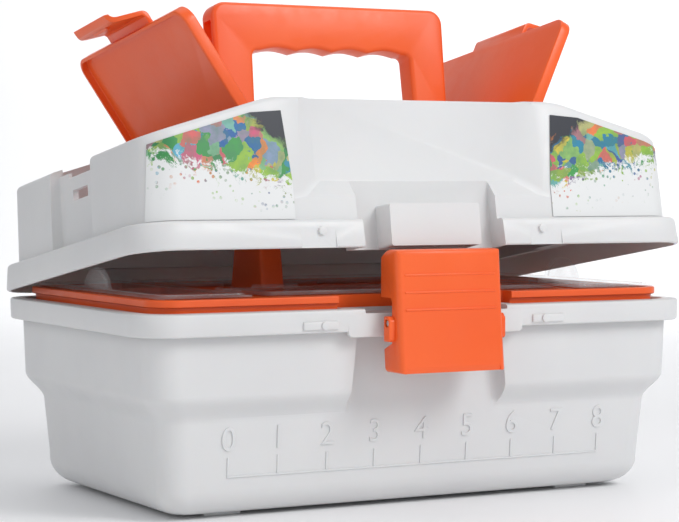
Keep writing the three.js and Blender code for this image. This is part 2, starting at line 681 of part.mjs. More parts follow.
function trayHandle() {
  const low = TRAY.bottom + TRAY.wall + SLIT;
  const levels = [
    [low, 6.2, 15.6],
    [TRAY.top + SLIT, 6.2, 15.6],
    [TRAY.top + SLIT, 6.3, 18],
    [130, 5.8, 14],
  ];
  const post = (x) => {
    const rings = levels.map(([z, halfX, halfY]) => ring(halfX, halfY, 2, z));
    return loft(rings).translate([x, 0, 0]);
  };
  const grip = box(-45, 45, -8, 8, 121, 130);
  return join(post(-48.3), post(48.3), grip);
}

function sideCover() {
  const z = TRAY.top + COVER.gap;
  const plate = tub([
    [z, (COVER.outer - COVER.inner) / 2, COVER.half, 3],
    [z + COVER.thick, (COVER.outer - COVER.inner) / 2, COVER.half, 3],
  ]);
  const fin = new THREE.Shape();
  fin.absellipse(0, z + 1, 15.5, 10.8, 0, Math.PI, false);
  const middle = (COVER.outer + COVER.inner) / 2;
  const placed = (made) => made.translate([middle, 0, 0]);
  const barrels = both((s) => bar("y", s * 50 - 12, s * 50 + 12, COVER.inner - 0.6, z + 1.4, 1.4));
  return join(placed(plate), alongX(fin, 132.4, 133.8, 12), barrels);
}

function middleCover(depth) {
  const z = TRAY.top + COVER.gap;
  const plate = loft([z, z + COVER.thick].map((h) => ring(79.5, depth / 2, 3, h)));
  const barrels = both((s) => bar("x", s * 50 - 12, s * 50 + 12, -depth / 2, z + 1.4, 1.4));
  return join(plate, barrels);
}

// ---------------------------------------------------------------- assembly
const tackleBox = new THREE.Group();
tackleBox.position.y = TUB_OFFSET;
tackleBox.add(mesh("base_tub", baseTub(), white()));

const lid = new THREE.Group();
lid.position.set(0, HINGE.y, HINGE.z);
lid.rotation.x = -LID_AJAR;
const lidFrame = new THREE.Group();
lidFrame.position.set(0, -HINGE.y, -HINGE.z);
lid.add(lidFrame);
tackleBox.add(lid);
lidFrame.add(mesh("lid_shell", lidShell(), white()));
lidFrame.add(mesh("lid_catch", lidCatch(), white()));
lidFrame.add(mesh("handle", handle(), orange()));

for (const [name, side] of [
  ["left", -1],
  ["right", 1],
]) {
  tackleBox.add(
    mesh(
      `hinge_pin_${name}`,
      bar("x", side * HINGE.x - 20.5, side * HINGE.x + 20.5, HINGE.y, HINGE.z, 1.6),
      steel(),
    ),
  );
  lidFrame.add(mesh(`label_${name}`, label(side), printed()));
  const pivot = side > 0 ? [53, 73.8] : [-73.8, -53];
  lidFrame.add(mesh(`handle_pivot_${name}`, bar("x", ...pivot, 0, HANDLE.pivotZ, 1.9), steel()));

  const axis = new THREE.Group();
  axis.position.set(side * FLAP.x, 0, PLATEAU_Z - FLAP.axisDrop);
  axis.scale.x = side;
  lidFrame.add(axis);
  axis.add(mesh(`flap_pin_${name}`, bar("y", -FLAP.half - 3.4, FLAP.half + 3.4, 0, 0, 1.1, 12), steel()));
  const swing = new THREE.Group();
  swing.rotation.y = SHOULDER_ANGLE - THREE.MathUtils.degToRad(FLAP_OPEN[name]);
  axis.add(swing);
  swing.add(mesh(`flap_${name}`, flap(), orange()));

  const cover = new THREE.Group();
  cover.scale.x = side;
  cover.add(mesh(`tray_cover_${name}`, sideCover(), clear()));
  tackleBox.add(cover);
}

const latchAxis = new THREE.Group();
latchAxis.position.set(0, LATCH.y, LATCH.z);
latchAxis.add(mesh("latch", latch(), orange()));
latchAxis.add(mesh("latch_pin", bar("x", -31, 31, 0, 0, 1.5), steel()));
tackleBox.add(latchAxis);

tackleBox.add(mesh("tray", tray(), orange()));
for (const [name, wall] of trayWalls()) tackleBox.add(mesh(name, wall, orange()));
tackleBox.add(mesh("tray_handle", trayHandle(), orange()));

const frontCover = new THREE.Group();
frontCover.position.y = -SPINE - 1.6 - COVER_DEPTH.front / 2;
frontCover.rotation.z = Math.PI;
frontCover.add(mesh("tray_cover_front", middleCover(COVER_DEPTH.front), clear()));
const rearCover = new THREE.Group();
rearCover.position.y = SPINE + 1.6 + COVER_DEPTH.rear / 2;
rearCover.add(mesh("tray_cover_rear", middleCover(COVER_DEPTH.rear), clear()));
tackleBox.add(frontCover, rearCover);

export default tackleBox;
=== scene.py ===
# Fishing tackle box: the fine meshes, materials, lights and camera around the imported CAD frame.
# Shapes are drawn in millimetres about the middle of the tub, lid pieces with the lid shut, and are
# then placed in the frame's metres. +X right seen from the front, +Y towards the hinge, +Z up.
import json
import math

import bmesh
import bpy
from mathutils import Matrix, Vector


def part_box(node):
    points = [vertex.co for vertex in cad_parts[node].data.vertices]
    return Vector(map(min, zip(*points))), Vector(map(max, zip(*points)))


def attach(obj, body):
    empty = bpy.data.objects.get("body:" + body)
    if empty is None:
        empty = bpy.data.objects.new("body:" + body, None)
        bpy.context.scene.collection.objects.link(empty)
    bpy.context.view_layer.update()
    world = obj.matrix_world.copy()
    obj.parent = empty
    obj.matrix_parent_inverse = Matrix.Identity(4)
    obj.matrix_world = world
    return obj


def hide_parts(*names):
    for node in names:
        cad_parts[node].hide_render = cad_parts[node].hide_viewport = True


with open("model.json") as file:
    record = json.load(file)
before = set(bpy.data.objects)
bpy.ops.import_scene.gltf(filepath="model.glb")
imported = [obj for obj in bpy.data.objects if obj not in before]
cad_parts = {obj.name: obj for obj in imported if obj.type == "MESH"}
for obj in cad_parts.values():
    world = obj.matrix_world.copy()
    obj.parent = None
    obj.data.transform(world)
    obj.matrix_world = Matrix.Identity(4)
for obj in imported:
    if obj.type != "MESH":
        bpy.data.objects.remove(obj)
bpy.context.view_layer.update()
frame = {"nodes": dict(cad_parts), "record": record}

MM = 0.001
HALF_TURN = math.pi
joints = {joint["name"]: joint for joint in frame["record"]["behaviour"]["joints"]}

# ---------------------------------------------------------------- driving dimensions
WALL = 2.3
TUB_OFFSET = 4.5  # how far the tub's middle stands behind the frame's origin
FOOT_HEIGHT = 1.8
FOOT_X, FOOT_Y, FOOT_HALF_X, FOOT_HALF_Y = 97.0, 55.0, 9.5, 7.0
RIM_TOP = 95.3
RIM_HEIGHT = 10.5
RIM_X, RIM_Y, RIM_R = 149.5, 93.0, 20.0
UPPER_X, UPPER_Y, UPPER_R = 143.6, 87.1, 15.0
LOWER_X, LOWER_Y, LOWER_R = 134.8, 78.8, 13.0
STEP_BOTTOM, STEP_TOP = 44.5, 58.0
DRAFT = 0.08
BOTTOM_RADIUS = 12.0
APRON = 47.5
RIM_DIP = 38.7
LOCATOR_IN, LOCATOR_OUT, LOCATOR_KNOB = 53.0, 71.0, 60.0  # pads on the rim, and the lid's notches over them

HINGE_X, HINGE_Y, HINGE_Z, HINGE_R = 84.0, 99.2, 95.4, 4.2
HINGE_BORE, HINGE_REACH, HINGE_LUG_AWAY, HINGE_LUG_HALF, KNUCKLE_HALF = 2.0, 25.0, 15.25, 4.75, 10.0
FLANGE_X, FLANGE_Y, FLANGE_R = 151.0, 94.5, 21.0
FLANGE_BOTTOM, FLANGE_TOP = 95.6, 108.8
LID_X, LID_Y, LID_R, LID_DRAFT = 145.0, 88.5, 17.0, 0.02
PLATEAU_X, PLATEAU_Z = 78.0, 166.8
SHOULDER_SLOPE = 0.291
SHOULDER_ANGLE = math.atan(SHOULDER_SLOPE)
PANEL_X, PANEL_DEPTH, PANEL_BEVEL, PANEL_SILL = 67.0, 6.5, 11.0, 119.6
BAY, LID_WALL, ROOF_END, ABOVE_LID = 38.2, 1.7, 160.0, 190.0
BIN_IN, BIN_OUT, BIN_Y, BIN_BOTTOM = 86.0, 137.2, 69.5, 126.1
BACKING_X, BACKING_Y, BACKING_TOP = 136.4, 28.5, 148.0

FLAP_LENGTH, FLAP_HALF, FLAP_PLATE, FLAP_SKIRT = 57.5, 64.6, 2.2, 5.8
FLAP_DROP, FLAP_X, FLAP_CORNER = 3.8, 79.6, 8.0
TONGUE_HALF, TONGUE_IN, TONGUE_OUT, TONGUE_DROP, TONGUE_WELL = 24.5, 139.7, 142.0, 18.5, 26.2

HANDLE_OUTER, HANDLE_INNER, HANDLE_TOP, HANDLE_UNDER = 66.5, 46.0, 229.4, 205.3
HANDLE_DEPTH, HANDLE_PIVOT, HANDLE_CORNER, SCALLOP_DEPTH = 13.6, 175.0, 7.5, 1.7
HANDLE_BORE, HANDLE_LUG_R, HANDLE_LUG_HALF, HANDLE_LUG_AWAY = 2.3, 5.5, 2.6, 3.3

LATCH_X, LATCH_Y, LATCH_Z, LATCH_TOP, LATCH_BOTTOM = 28.5, -100.0, 88.8, 122.6, 65.8
LATCH_LUG, LATCH_LUG_X, LATCH_LUG_HALF, LATCH_BORE = 3.2, 21.5, 2.5, 1.9
LATCH_WALL, LATCH_HOOK = 2.3, 3.7

TRAY_X, TRAY_Y, TRAY_R, TRAY_BOTTOM, TRAY_TOP = 138.2, 81.8, 13.0, 54.4, 101.1
TRAY_WALL, TRAY_LEAN, TRAY_RIM, SPINE = 1.9, 2.2, 1.5, 21.0
TRAY_SPLITS, TRAY_WING, TRAY_NOTCH_HALF, POST_X = (-84, -28, 28, 84), 87, 47.4, 48.3
COVER_IN, COVER_OUT, COVER_Z, COVER_HINGE = 88.9, 136.6, TRAY_TOP + 0.3, SPINE + 1.6
FRONT_DEPTH, REAR_DEPTH, BARREL_R = 50.5, 57.5, 1.4
INCH = 25.4
RULER_Y, RULER_Z, RULER_TICK, RULER_GAP, RULER_FONT = 76.9, 19.2, 9.5, 3.2, 15.5
RULER_LINE, RULER_RAISE, RULER_ROOT = 0.45, 0.45, 0.8

LID_AJAR = -math.radians(joints["lid_hinge"]["range_deg"][0])
FLAP_OPEN = {
    "left": -math.radians(joints["flap_left_hinge"]["range_deg"][0]),
    "right": -math.radians(joints["flap_right_hinge"]["range_deg"][0]),
}
TUB_PLACE = Matrix.Translation((0, TUB_OFFSET, 0))
LID_PLACE = (
    TUB_PLACE
    @ Matrix.Translation((0, HINGE_Y, HINGE_Z))
    @ Matrix.Rotation(-LID_AJAR, 4, "X")
    @ Matrix.Translation((0, -HINGE_Y, -HINGE_Z))
)
LATCH_PLACE = TUB_PLACE @ Matrix.Translation((0, LATCH_Y, LATCH_Z))


def side_name(side):
    return "right" if side > 0 else "left"


def flap_place(side):
    axis = Matrix.Translation((side * FLAP_X, 0, PLATEAU_Z - FLAP_DROP))
    mirror = Matrix.Diagonal((side, 1, 1, 1))
    swing = Matrix.Rotation(SHOULDER_ANGLE - FLAP_OPEN[side_name(side)], 4, "Y")
    return LID_PLACE @ axis @ mirror @ swing


# ---------------------------------------------------------------- solids
def mesh_of(points, faces):
    mesh = bpy.data.meshes.new("draft")
    mesh.from_pydata([tuple(p) for p in points], [], faces)
    return mesh


def tidy(mesh):
    work = bmesh.new()
    work.from_mesh(mesh)
    bmesh.ops.remove_doubles(work, verts=work.verts, dist=1e-4)
    bmesh.ops.recalc_face_normals(work, faces=work.faces)
    work.to_mesh(mesh)
    work.free()
    return mesh


def loft(rings):
    """A closed skin over rings of the same number of points."""
    count = len(rings[0])
    points = [p for ring in rings for p in ring]
    faces = [tuple(range(count))[::-1]]
    for k in range(len(rings) - 1):
        for i in range(count):
            j = (i + 1) % count
            faces.append((k * count + i, k * count + j, (k + 1) * count + j, (k + 1) * count + i))
    faces.append(tuple(range((len(rings) - 1) * count, len(rings) * count)))
    return tidy(mesh_of(points, faces))


def rounded(half_a, half_b, radius, steps=12):
    """Corner points of a rounded rectangle, counter-clockwise."""
    radius = max(min(radius, half_a - 0.01, half_b - 0.01), 0.02)
    points = []
    for quarter, (sa, sb) in enumerate([(1, 1), (-1, 1), (-1, -1), (1, -1)]):
        for i in range(steps + 1):
            angle = (quarter + i / steps) * HALF_TURN / 2
            points.append((sa * (half_a - radius) + radius * math.cos(angle),
                           sb * (half_b - radius) + radius * math.sin(angle)))
    return points


def ring(half_x, half_y, radius, z, centre=(0, 0), steps=12):
    return [Vector((centre[0] + a, centre[1] + b, z)) for a, b in rounded(half_x, half_y, radius, steps)]


def ring_xz(x0, x1, z0, z1, radius, y, steps=6):
    cx, cz = (x0 + x1) / 2, (z0 + z1) / 2
    return [Vector((cx + a, y, cz + b)) for a, b in rounded((x1 - x0) / 2, (z1 - z0) / 2, radius, steps)]


def tub(sections):
    return loft([ring(x, y, r, z) for z, x, y, r in sections])


def block(x0, x1, y0, y1, z0, z1, edge=0.0, segments=2):
    """A box with its edges rounded by edge."""
    corners = [(x, y, z) for x in (x0, x1) for y in (y0, y1) for z in (z0, z1)]
    faces = [(0, 1, 3, 2), (4, 6, 7, 5), (0, 4, 5, 1), (2, 3, 7, 6), (0, 2, 6, 4), (1, 5, 7, 3)]
    return soften(tidy(mesh_of(corners, faces)), edge, segments)


def soften(mesh, edge, segments=2, angle=30):
    if edge <= 0:
        return mesh
    work = bmesh.new()
    work.from_mesh(mesh)
    sharp = [e for e in work.edges if len(e.link_faces) == 2 and e.calc_face_angle(0) > math.radians(angle)]
    bmesh.ops.bevel(work, geom=sharp, offset=edge, segments=segments, profile=0.5,
                    affect="EDGES", clamp_overlap=True)
    bmesh.ops.recalc_face_normals(work, faces=work.faces)
    work.to_mesh(mesh)
    work.free()
    return mesh


def prism(points, axis, low, high, edge=0.0):
    """A flat outline drawn out along an axis: (x, z) along y, (y, z) along x, (x, y) along z."""
    place = {"x": lambda a, b, t: (t, a, b), "y": lambda a, b, t: (a, t, b), "z": lambda a, b, t: (a, b, t)}
    rings = [[Vector(place[axis](a, b, t)) for a, b in points] for t in (low, high)]
    return soften(loft(rings), edge)


def rod(axis, low, high, a, b, radius, sides=32, edge=0.0):
    turns = [i * 2 * HALF_TURN / sides for i in range(sides)]
    around = [(a + radius * math.cos(t), b + radius * math.sin(t)) for t in turns]
    return prism(around, axis, low, high, edge)


def arc(ca, cb, radius, start, end, steps=10):
    """Points of an arc, angles in degrees."""
    span = [math.radians(start + (end - start) * i / steps) for i in range(steps + 1)]
    return [(ca + radius * math.cos(t), cb + radius * math.sin(t)) for t in span]


def bow(start, control, end, steps=10):
    """Points of a quadratic curve, the start left out."""
    points = []
    for i in range(1, steps + 1):
        t = i / steps
        points.append(tuple((1 - t) ** 2 * s + 2 * t * (1 - t) * c + t * t * e
                            for s, c, e in zip(start, control, end)))
    return points


def moved(mesh, x=0.0, y=0.0, z=0.0):
    mesh.transform(Matrix.Translation((x, y, z)))
    return mesh


def mirrored(mesh):
    copy = mesh.copy()
    copy.transform(Matrix.Diagonal((-1, 1, 1, 1)))
    return tidy(copy)


def pair(mesh):
    return [mesh, mirrored(mesh)]


def combine(mesh, others, operation):
    """Boolean of a mesh with each of the others in turn."""
    scratch = bpy.data.objects.new("scratch", mesh)
    bpy.context.collection.objects.link(scratch)
    tools = []
    for other in others:
        tool = bpy.data.objects.new("tool", other)
        bpy.context.collection.objects.link(tool)
        tools.append(tool)
        modifier = scratch.modifiers.new("cut", "BOOLEAN")
        modifier.operation = operation
        modifier.solver = "MANIFOLD"
        modifier.object = tool
    graph = bpy.context.evaluated_depsgraph_get()
    made = bpy.data.meshes.new_from_object(scratch.evaluated_get(graph))
    for thing in [scratch, *tools]:
        bpy.data.objects.remove(thing)
    return made


def add(mesh, *others):
    return combine(mesh, others, "UNION")


def cut(mesh, *others):
    return combine(mesh, others, "DIFFERENCE")


def common(mesh, *others):
    return combine(mesh, others, "INTERSECT")


def merge_flat(mesh, angle=0.6):
    """Joins the flat triangles that a boolean leaves."""
    work = bmesh.new()
    work.from_mesh(mesh)
    bmesh.ops.remove_doubles(work, verts=work.verts, dist=2e-3)
    bmesh.ops.dissolve_limit(work, angle_limit=math.radians(angle), verts=work.verts, edges=work.edges)
    work.to_mesh(mesh)
    work.free()
    return mesh


def piece(name, mesh, place, body, material, stands_for=None, smooth=32):
    """Places a drawn mesh in the frame and hands it to a body."""
    mesh.transform(Matrix.Scale(MM, 4) @ place)
    if place.determinant() < 0:
        mesh.flip_normals()
    mesh.name = name
    mesh.materials.clear()
    mesh.materials.append(material)
    made = bpy.data.objects.new(name, mesh)
    bpy.context.collection.objects.link(made)
    mesh.shade_smooth()
    mesh.set_sharp_from_angle(angle=math.radians(smooth))
    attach(made, body)
    if stands_for:
        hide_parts(*([stands_for] if isinstance(stands_for, str) else stands_for))


# ---------------------------------------------------------------- materials
class Paint:
    """A node material with a Principled surface and a few shorthands for its texture nodes."""

    def __init__(self, name, **surface):
        self.material = bpy.data.materials.new(name)
        self.material.use_nodes = True
        self.tree = self.material.node_tree
        self.shader = self.tree.nodes["Principled BSDF"]
        for socket, value in surface.items():
            self.shader.inputs[socket.replace("_", " ")].default_value = value

    def feed(self, target, source):
        """Wires another socket to a target socket, or sets its value."""
        if isinstance(source, bpy.types.NodeSocket):
            self.tree.links.new(source, target)
        else:
            target.default_value = source

    def node(self, kind, links=None, **values):
        made = self.tree.nodes.new(kind)
        for key, value in values.items():
            setattr(made, key, value)
        for socket, source in (links or {}).items():
            self.feed(made.inputs[socket], source)
        return made

    def where(self):
        return self.node("ShaderNodeTexCoord").outputs["Object"]

    def noise(self, scale, detail=3.0, roughness=0.55, at=None):
        links = {"Vector": at or self.where(), "Scale": scale, "Detail": detail, "Roughness": roughness}
        return self.node("ShaderNodeTexNoise", links).outputs["Fac"]

    def ramp(self, source, stops):
        made = self.node("ShaderNodeValToRGB", {"Fac": source})
        band = made.color_ramp
        while len(band.elements) < len(stops):
            band.elements.new(0.5)
        for element, (position, colour) in zip(band.elements, stops):
            element.position = position
            element.color = colour if isinstance(colour, tuple) else (colour, colour, colour, 1)
        return made.outputs["Color"]

    def mix(self, factor, a, b):
        made = self.node("ShaderNodeMix", data_type="RGBA")
        for index, source in ((0, factor), (6, a), (7, b)):
            self.feed(made.inputs[index], source)
        return made.outputs[2]

    def maths(self, operation, a, b):
        made = self.node("ShaderNodeMath", operation=operation)
        for index, source in enumerate((a, b)):
            self.feed(made.inputs[index], source)
        return made.outputs[0]

    def wire(self, source, socket):
        self.tree.links.new(source, self.shader.inputs[socket])

    def grain(self, height, strength, distance=0.0002):
        links = {"Height": height, "Strength": strength, "Distance": distance}
        self.wire(self.node("ShaderNodeBump", links).outputs["Normal"], "Normal")


def rgb(red, green, blue):
    """A display colour, 0 to 255, as a linear one."""
    def linear(value):
        value /= 255
        return value / 12.92 if value <= 0.04045 else ((value + 0.055) / 1.055) ** 2.4
    return (linear(red), linear(green), linear(blue), 1.0)


def moulded(name, light, dark, roughness, glow, depth):
    """Satin moulded plastic: soft flow marks, fine spark-eroded grain and faint scuffs."""
    paint = Paint(name, Specular_IOR_Level=0.42, Subsurface_Weight=glow, Subsurface_Scale=depth)
    paint.shader.inputs["Subsurface Radius"].default_value = (1.0, 0.55, 0.35)
    flow = paint.noise(9.0, 4.0)
    body = paint.mix(paint.ramp(flow, [(0.35, 0.0), (0.7, 1.0)]), light, dark)
    speck = paint.ramp(paint.noise(420.0, 2.0), [(0.3, 0.0), (0.75, 1.0)])
    paint.wire(paint.mix(paint.maths("MULTIPLY", speck, 0.12), body, dark), "Base Color")
    scuff = paint.ramp(paint.noise(55.0, 6.0, 0.7), [(0.42, roughness - 0.05), (0.68, roughness + 0.09)])
    paint.wire(scuff, "Roughness")
    grain = paint.noise(1500.0, 2.0, 0.6)
    sink = paint.noise(26.0, 2.0)
    paint.grain(paint.maths("ADD", grain, paint.maths("MULTIPLY", sink, 3.0)), 0.12, 0.0001)
    return paint.material


WHITE = moulded("white_moulding", rgb(223, 223, 223), rgb(216, 216, 217), 0.4, 0.08, 0.004)
ORANGE = moulded("orange_moulding", rgb(249, 104, 44), rgb(242, 94, 38), 0.34, 0.1, 0.003)


def clear_plastic():
    """Thin clear sheet: mostly see-through, whiter where it is seen edge on."""
    paint = Paint("clear_cover", Base_Color=rgb(250, 251, 252), IOR=1.46, Specular_IOR_Level=0.6)
    edge = paint.node("ShaderNodeLayerWeight", {"Blend": 0.25}).outputs["Facing"]
    haze = paint.ramp(paint.noise(38.0, 5.0, 0.65), [(0.4, 0.05), (0.72, 0.13)])
    paint.wire(haze, "Roughness")
    paint.wire(paint.maths("ADD", haze, paint.ramp(edge, [(0.2, 0.04), (0.95, 0.16)])), "Alpha")
    paint.grain(paint.noise(90.0, 3.0), 0.08, 0.0002)
    return paint.material


def wire_steel():
    paint = Paint("drawn_steel", Metallic=1.0, Anisotropic=0.4)
    paint.wire(paint.ramp(paint.noise(300.0, 3.0), [(0.3, rgb(176, 178, 182)), (0.8, rgb(205, 206, 208))]),
               "Base Color")
    paint.wire(paint.ramp(paint.noise(700.0, 2.0), [(0.3, 0.24), (0.8, 0.4)]), "Roughness")
    paint.grain(paint.noise(1800.0), 0.1, 0.0001)
    return paint.material


def printed_film(name, side):
    """A label of splashed colours that thin out into white towards its lower edge."""
    paint = Paint(name, Roughness=0.3, Specular_IOR_Level=0.5, Coat_Weight=0.25)
    place = paint.where()
    split = paint.node("ShaderNodeSeparateXYZ", {"Vector": place})
    across = paint.maths("MULTIPLY", split.outputs["X"], side)
    low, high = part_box(f"label_{side_name(side)}")
    rise = paint.node("ShaderNodeMapRange",
                      {"Value": split.outputs["Z"], "From Min": low[2], "From Max": high[2]})
    height = rise.outputs["Result"]
    inner, outer = min(abs(low[0]), abs(high[0])), max(abs(low[0]), abs(high[0]))
    span = paint.node("ShaderNodeMapRange", {"Value": across, "From Min": inner, "From Max": outer})
    sideways = span.outputs["Result"]
    warp = paint.node("ShaderNodeTexNoise", {"Vector": place, "Scale": 60.0, "Detail": 5.0})
    bent = paint.node("ShaderNodeVectorMath", {0: warp.outputs["Color"], 1: (0.03, 0.03, 0.03)},
                      operation="MULTIPLY")
    spread = paint.node("ShaderNodeVectorMath", {0: place, 1: bent.outputs[0]}, operation="ADD").outputs[0]
    hues = paint.node("ShaderNodeTexVoronoi", {"Vector": spread, "Scale": 150.0})
    shade = paint.node("ShaderNodeSeparateColor", {"Color": hues.outputs["Color"]}).outputs["Red"]
    colours = [rgb(38, 120, 70), rgb(70, 160, 80), rgb(226, 200, 60), rgb(40, 140, 170), rgb(32, 84, 160),
               rgb(240, 140, 50), rgb(214, 70, 110), rgb(90, 170, 200), rgb(150, 190, 70)]
    wash = paint.ramp(shade, [(k / len(colours), colour) for k, colour in enumerate(colours)])
    wash = paint.mix(paint.ramp(paint.noise(160.0, 5.0), [(0.35, 0.0), (0.7, 0.6)]), wash, rgb(72, 128, 96))
    # Dark ink gathers in the top corner next to the sunk panel.
    corner = paint.maths("SUBTRACT", height, paint.maths("MULTIPLY", sideways, 0.9))
    ragged = paint.maths("ADD", corner, paint.maths("MULTIPLY", paint.noise(75.0, 6.0, 0.7, spread), 0.5))
    ink = paint.ramp(ragged, [(0.88, 0.0), (0.96, 1.0)])
    art = paint.mix(ink, wash, rgb(44, 47, 56))
    edge = paint.maths("SUBTRACT", height, paint.maths("MULTIPLY", sideways, 0.26))
    splash = paint.maths("ADD", edge, paint.maths("MULTIPLY", paint.noise(150.0, 8.0, 0.8, spread), 1.0))
    cover = paint.ramp(splash, [(0.83, 0.0), (0.87, 1.0)])
    drops = paint.node("ShaderNodeTexVoronoi", {"Vector": place, "Scale": 420.0, "Randomness": 1.0})
    dot = paint.ramp(drops.outputs["Distance"], [(0.3, 1.0), (0.36, 0.0)])
    thin = paint.ramp(splash, [(0.52, 0.0), (0.8, 1.0)])
    drawn = paint.node("ShaderNodeSeparateColor", {"Color": drops.outputs["Color"]}).outputs["Green"]
    sparse = paint.ramp(drawn, [(0.55, 0.0), (0.6, 1.0)])
    speckle = paint.maths("MULTIPLY", paint.maths("MULTIPLY", dot, thin), sparse)
    mask = paint.maths("MAXIMUM", cover, speckle)
    paint.wire(paint.mix(mask, rgb(229, 230, 230), art), "Base Color")
    paint.grain(paint.noise(700.0), 0.04, 0.0001)
    return paint.material


CLEAR = clear_plastic()
STEEL = wire_steel()


# ---------------------------------------------------------------- tub
def tub_profile(inset=0.0):
    """Sections [z, half width, half depth, corner radius] of the tub's wall, from its floor to its rim."""
    sections = []
    for i in range(9):
        turn = i / 8 * HALF_TURN / 2
        z = FOOT_HEIGHT + BOTTOM_RADIUS * (1 - math.cos(turn))
        back = BOTTOM_RADIUS * (1 - math.sin(turn)) + (STEP_BOTTOM - z) * DRAFT
        sections.append((z, LOWER_X - back, LOWER_Y - back, LOWER_R - back * 0.4))
    for i in range(5):
        z = 18 + (STEP_BOTTOM - 20) * i / 4
        back = (STEP_BOTTOM - z) * DRAFT
        sections.append((z, LOWER_X - back, LOWER_Y - back, LOWER_R))
    for i in range(13):
        t = i / 12
        ease = t * t * (3 - 2 * t)
        z = STEP_BOTTOM + (STEP_TOP - STEP_BOTTOM) * t
        half_x = LOWER_X + (UPPER_X - 1 - LOWER_X) * ease
        half_y = LOWER_Y + (UPPER_Y - 1 - LOWER_Y) * ease
        sections.append((z, half_x, half_y, LOWER_R + (UPPER_R - LOWER_R) * ease))
    for z, out in ((66, -0.8), (78, -0.4), (RIM_TOP - 2.4, 0)):
        sections.append((z, UPPER_X + out, UPPER_Y + out, UPPER_R))
    return [(z, x - inset, y - inset, max(r - inset, 1)) for z, x, y, r in sections]


def rim_skirt():
    low = RIM_TOP - RIM_HEIGHT
    outer = [(low, -1.2), (low + 0.35, -0.6), (low + 1, -0.3), (RIM_TOP - 1.3, 0), (RIM_TOP - 0.5, -0.25),
             (RIM_TOP - 0.1, -0.75), (RIM_TOP, -1.4)]
    skirt = loft([ring(RIM_X + o, RIM_Y + o, RIM_R + o, z) for z, o in outer])
    groove = loft([ring(RIM_X - 2.6, RIM_Y - 2.6, RIM_R - 2, z) for z in (low - 1, RIM_TOP - 2.6)])
    return cut(skirt, groove)


def latch_bay():
    """The recess in the tub's front behind the latch, wider towards its foot."""
    rings = []
    for i in range(9):
        t = i / 8
        z = STEP_BOTTOM - 2 + (RIM_TOP - STEP_BOTTOM) * t
        rings.append(ring(44.5 - 5.5 * t ** 0.7, 20, 5, z, centre=(0, -LOWER_Y - 20 + 0.02)))
    return loft(rings)


def tub_hollow():
    inner = [(z + 1.2, x, y, r) for z, x, y, r in tub_profile(WALL)[3:]]
    floor = FOOT_HEIGHT + WALL
    first = inner[0]
    bottom = [(floor, first[1] - 5, first[2] - 5, 6), (floor + 0.8, first[1] - 2.6, first[2] - 2.6, 7)]
    top = inner[-1]
    mouth = [(RIM_TOP - 0.8, top[1], top[2], top[3]), (RIM_TOP + 0.4, top[1] + 1, top[2] + 1, top[3])]
    inside = tub([s for s in bottom + inner if s[0] < RIM_TOP - 1] + mouth)
    back = block(-APRON + 1, APRON - 1, -RIM_Y - 9, WALL - LOWER_Y, STEP_BOTTOM - 3, RIM_TOP + 9)
    return cut(inside, back)


def apron_lugs():
    outline = [(1 - RIM_Y, LATCH_Z - LATCH_LUG)] + arc(LATCH_Y, LATCH_Z, LATCH_LUG, 270, 90, 14)
    outline.append((1 - RIM_Y, LATCH_Z + LATCH_LUG))
    lug = prism(outline, "x", LATCH_LUG_X - LATCH_LUG_HALF, LATCH_LUG_X + LATCH_LUG_HALF, 0.4)
    return pair(cut(lug, rod("x", 10, 40, LATCH_Y, LATCH_Z, LATCH_BORE)))


def hinge_lugs():
    outline = [(RIM_Y - 1.5, RIM_TOP - 10), (RIM_Y + 2, RIM_TOP - 10), (HINGE_Y + HINGE_R, HINGE_Z - 2)]
    outline += arc(HINGE_Y, HINGE_Z, HINGE_R, 0, 180, 16)
    outline += [(HINGE_Y - HINGE_R, RIM_TOP - 2), (RIM_Y - 1.5, RIM_TOP - 2)]
    lugs = []
    for x in (HINGE_X - HINGE_LUG_AWAY, HINGE_X + HINGE_LUG_AWAY):
        lugs += pair(prism(outline, "x", x - HINGE_LUG_HALF, x + HINGE_LUG_HALF, 0.4))
    return lugs


def hinge_bores():
    return pair(rod("x", HINGE_X - HINGE_REACH, HINGE_X + HINGE_REACH, HINGE_Y, HINGE_Z, HINGE_BORE))


def foot_pads():
    return [block(sx * FOOT_X - FOOT_HALF_X, sx * FOOT_X + FOOT_HALF_X,
                  sy * FOOT_Y - FOOT_HALF_Y, sy * FOOT_Y + FOOT_HALF_Y, 0.02, FOOT_HEIGHT + 1, 0.7)
            for sx in (-1, 1) for sy in (-1, 1)]


def build_tub():
    bottom = RIM_TOP - RIM_HEIGHT - 2.5
    apron = prism(rounded(APRON, (RIM_TOP - 1 - bottom) / 2, 2.5, 5), "y", -RIM_Y + 0.02, -RIM_Y + 2.4, 0.5)
    moved(apron, z=(RIM_TOP - 1 + bottom) / 2)
    shelf = block(-APRON, APRON, -RIM_Y + 1, WALL - LOWER_Y, RIM_TOP - 4.5, RIM_TOP - 2.1)
    dip = block(-RIM_DIP, RIM_DIP, -RIM_Y - 4, 1 - LOWER_Y, RIM_TOP - 2.05, RIM_TOP + 5, 0.6)
    shell = cut(add(tub(tub_profile()), rim_skirt()), latch_bay())
    shell = cut(add(shell, apron, shelf), dip, tub_hollow())
    pads = pair(block(LOCATOR_IN, LOCATOR_OUT, -RIM_Y - 0.9, -RIM_Y + 1, 86.4, 90.2, 0.5))
    knobs = pair(rod("y", -RIM_Y - 1.9, -RIM_Y + 1, LOCATOR_KNOB, 88.3, 2.1, 24, 0.3))
    shell = add(shell, *apron_lugs(), *pads, *knobs, *foot_pads(), *hinge_lugs())
    shell = cut(shell, *hinge_bores())
    piece("tub_shell", merge_flat(shell), TUB_PLACE, "base", WHITE, "base_tub")


